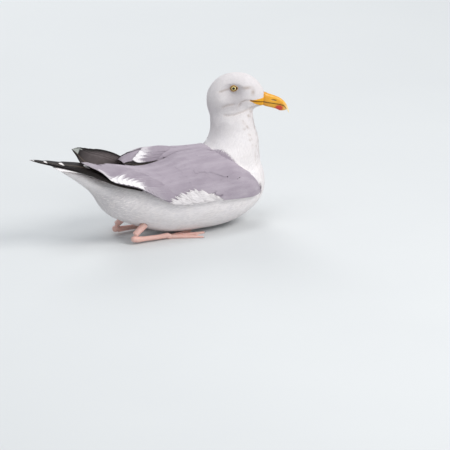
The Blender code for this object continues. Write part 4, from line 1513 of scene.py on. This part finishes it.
def tail_finish():
    made = finish("tail_feathers", roughness=0.62, Sheen_Weight=0.1)
    n = made[1]
    to_tip, across, _, _ = n.split("marks")
    height, mask = barbs(n, to_tip, across, 0.5, 200.0, 0.10)
    cloud = mottle(n, 70.0, 1.4)
    vane = n.mix(cloud, WHITE, WARM_WHITE, 0.6)
    vane = n.mix(mask, vane, SHADE_WHITE, 0.22)
    return finished(made, vane, height, 0.0002, 0.5)


as_piece("tail_vanes", tail_fan(), tail_finish(), "white_plumage", "tail")


# ---------------------------------------------------------------- legs and feet

def foot_finish():
    """Pink scaled skin: netted scutes, a little darker between them."""
    made = finish("foot_skin", roughness=0.5, Subsurface_Weight=0.08, Subsurface_Scale=0.004)
    n = made[1]
    place_in = n.add("ShaderNodeTexCoord")
    cells = n.add("ShaderNodeTexVoronoi", feature="DISTANCE_TO_EDGE", Scale=720.0)
    n.join((place_in.outputs["Object"], cells.inputs["Vector"]))
    scute = n.band(cells.outputs["Distance"], 0.0, 0.16)
    cloud, fine = mottle(n, 80.0, 1.6), mottle(n, 1200.0, 1.4, 3.0)
    pink = n.mix(cloud, paint(238, 202, 192), paint(228, 184, 172))
    pink = n.mix(fine, pink, paint(218, 166, 152), 0.3)
    relief = n.sum("ADD", scute, n.sum("MULTIPLY", fine, 0.3))
    return finished(made, n.mix(scute, paint(219, 174, 162), pink), relief, 0.0002, 0.6)


def limb(names, knuckles):
    """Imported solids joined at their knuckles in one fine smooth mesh, in millimetres."""
    whole = bmesh.new()
    for place_at, radius in knuckles:
        bmesh.ops.create_icosphere(whole, subdivisions=3, radius=radius,
                                   matrix=Matrix.Translation(place_at))
    for name in names:
        take_in(whole, merged(name))
    bm = remeshed(whole, 0.7, 5, grow=0.5)
    for vert in bm.verts:
        vert.co.z = max(vert.co.z, 0.0)
    return bm


KNUCKLES = [(-50, 33, 4.4, 4.2), (-113, 31, 9, 4.9)]        # where they are, and their radii
TOE_ROOT = (-46.5, 33.0)
TOES = [(-27, 53), (-4, 60), (20, 50)]      # degrees from straight ahead, length


def claws(side):
    """Short dark claws at the ends of the three front toes."""
    parts = []
    for angle, length in TOES:
        turn = radians(angle)
        way = np.array([cos(turn), -side * sin(turn)])
        start = np.array([TOE_ROOT[0], side * TOE_ROOT[1]]) + way * (length - 4.5)

        def spot(s, t):
            size = 1.5 * (1 - s) ** 0.7 + 0.12
            out, up = np.cos(2 * pi * t) * size, np.sin(2 * pi * t) * size * 0.8
            along_it = start + way * 6.5 * s[:, None]
            height = np.maximum(1.7 - 1.3 * s ** 2 + up, 0.15)
            return columns(along_it[:, 0] - way[1] * out, along_it[:, 1] + way[0] * out, height)

        parts.append(grid(14, 13, spot, wrap=True))
    return join_all(parts)


FOOT_FINISH = foot_finish()
CLAW_FINISH = finish("claw_horn", roughness=0.35)[0]
CLAW_FINISH.node_tree.nodes["Principled BSDF"].inputs["Base Color"].default_value = (*SLATE, 1)
for side, word in SIDES:
    nodes = word + "_leg", word + "_foot"
    shape = limb(nodes, [((x, side * y, z), radius) for x, y, z, radius in KNUCKLES])
    as_piece(word + "_foot_skin", shape, FOOT_FINISH, "bare_skin", *nodes)
    as_piece(word + "_claws", claws(side), CLAW_FINISH, "bare_skin")


# ---------------------------------------------------------------- floor, light and camera

def floor():
    bm = bmesh.new()
    bmesh.ops.create_grid(bm, x_segments=2, y_segments=2, size=6)
    mesh = new_mesh("floor", bm)
    material, n, shader = finish("pale_floor", roughness=0.85)
    n.join((n.mix(mottle(n, 3.0, 0.6), paint(214, 216, 216), paint(206, 208, 209)),
            shader.inputs["Base Color"]))
    mesh.materials.append(material)
    piece = new_object("floor", mesh)


def aim(name, data, place_at, way):
    """A new object that looks along the way."""
    piece = new_object(name, data)
    piece.location = place_at
    piece.rotation_mode = "QUATERNION"
    piece.rotation_quaternion = way.to_track_quat("-Z", "Y")
    return piece


def lamp(name, place_at, look_at, size, power, colour=(1, 1, 1)):
    light = bpy.data.lights.new(name, "AREA")
    light.shape, light.size, light.energy, light.color = "DISK", size, power, colour
    aim(name, light, place_at, Vector(look_at) - Vector(place_at))


def light():
    world = bpy.data.worlds.new("sky")
    bpy.context.scene.world = world
    world.use_nodes = True
    back = world.node_tree.nodes["Background"]
    back.inputs["Color"].default_value = (0.86, 0.90, 0.95, 1)
    back.inputs["Strength"].default_value = 0.6
    lamp("key", (1.3, -1.9, 2.4), (0, 0, 0.1), 1.5, 54, (1.0, 0.985, 0.965))
    lamp("top", (-0.7, -0.3, 3.0), (0, 0, 0.1), 1.8, 26, (0.98, 0.99, 1.0))
    lamp("front", (1.9, -3.4, 0.8), (0, 0, 0.15), 0.6, 17)
    lamp("back", (0.6, 2.4, 1.6), (0, 0, 0.1), 1.6, 22)


def camera():
    turn, rise, distance = radians(-30), radians(18.5), 15.0
    look = Vector((0.0499, -0.0416, 0.0090))
    back = Vector((sin(turn) * cos(rise), -cos(turn) * cos(rise), sin(rise)))
    data = bpy.data.cameras.new("camera")
    data.sensor_width, data.lens = 36, 740.7
    data.clip_start, data.clip_end = 0.1, 200
    bpy.context.scene.camera = aim("camera", data, look + back * distance, -back)
    bpy.context.scene.view_settings.view_transform = "Standard"


floor()
light()
camera()
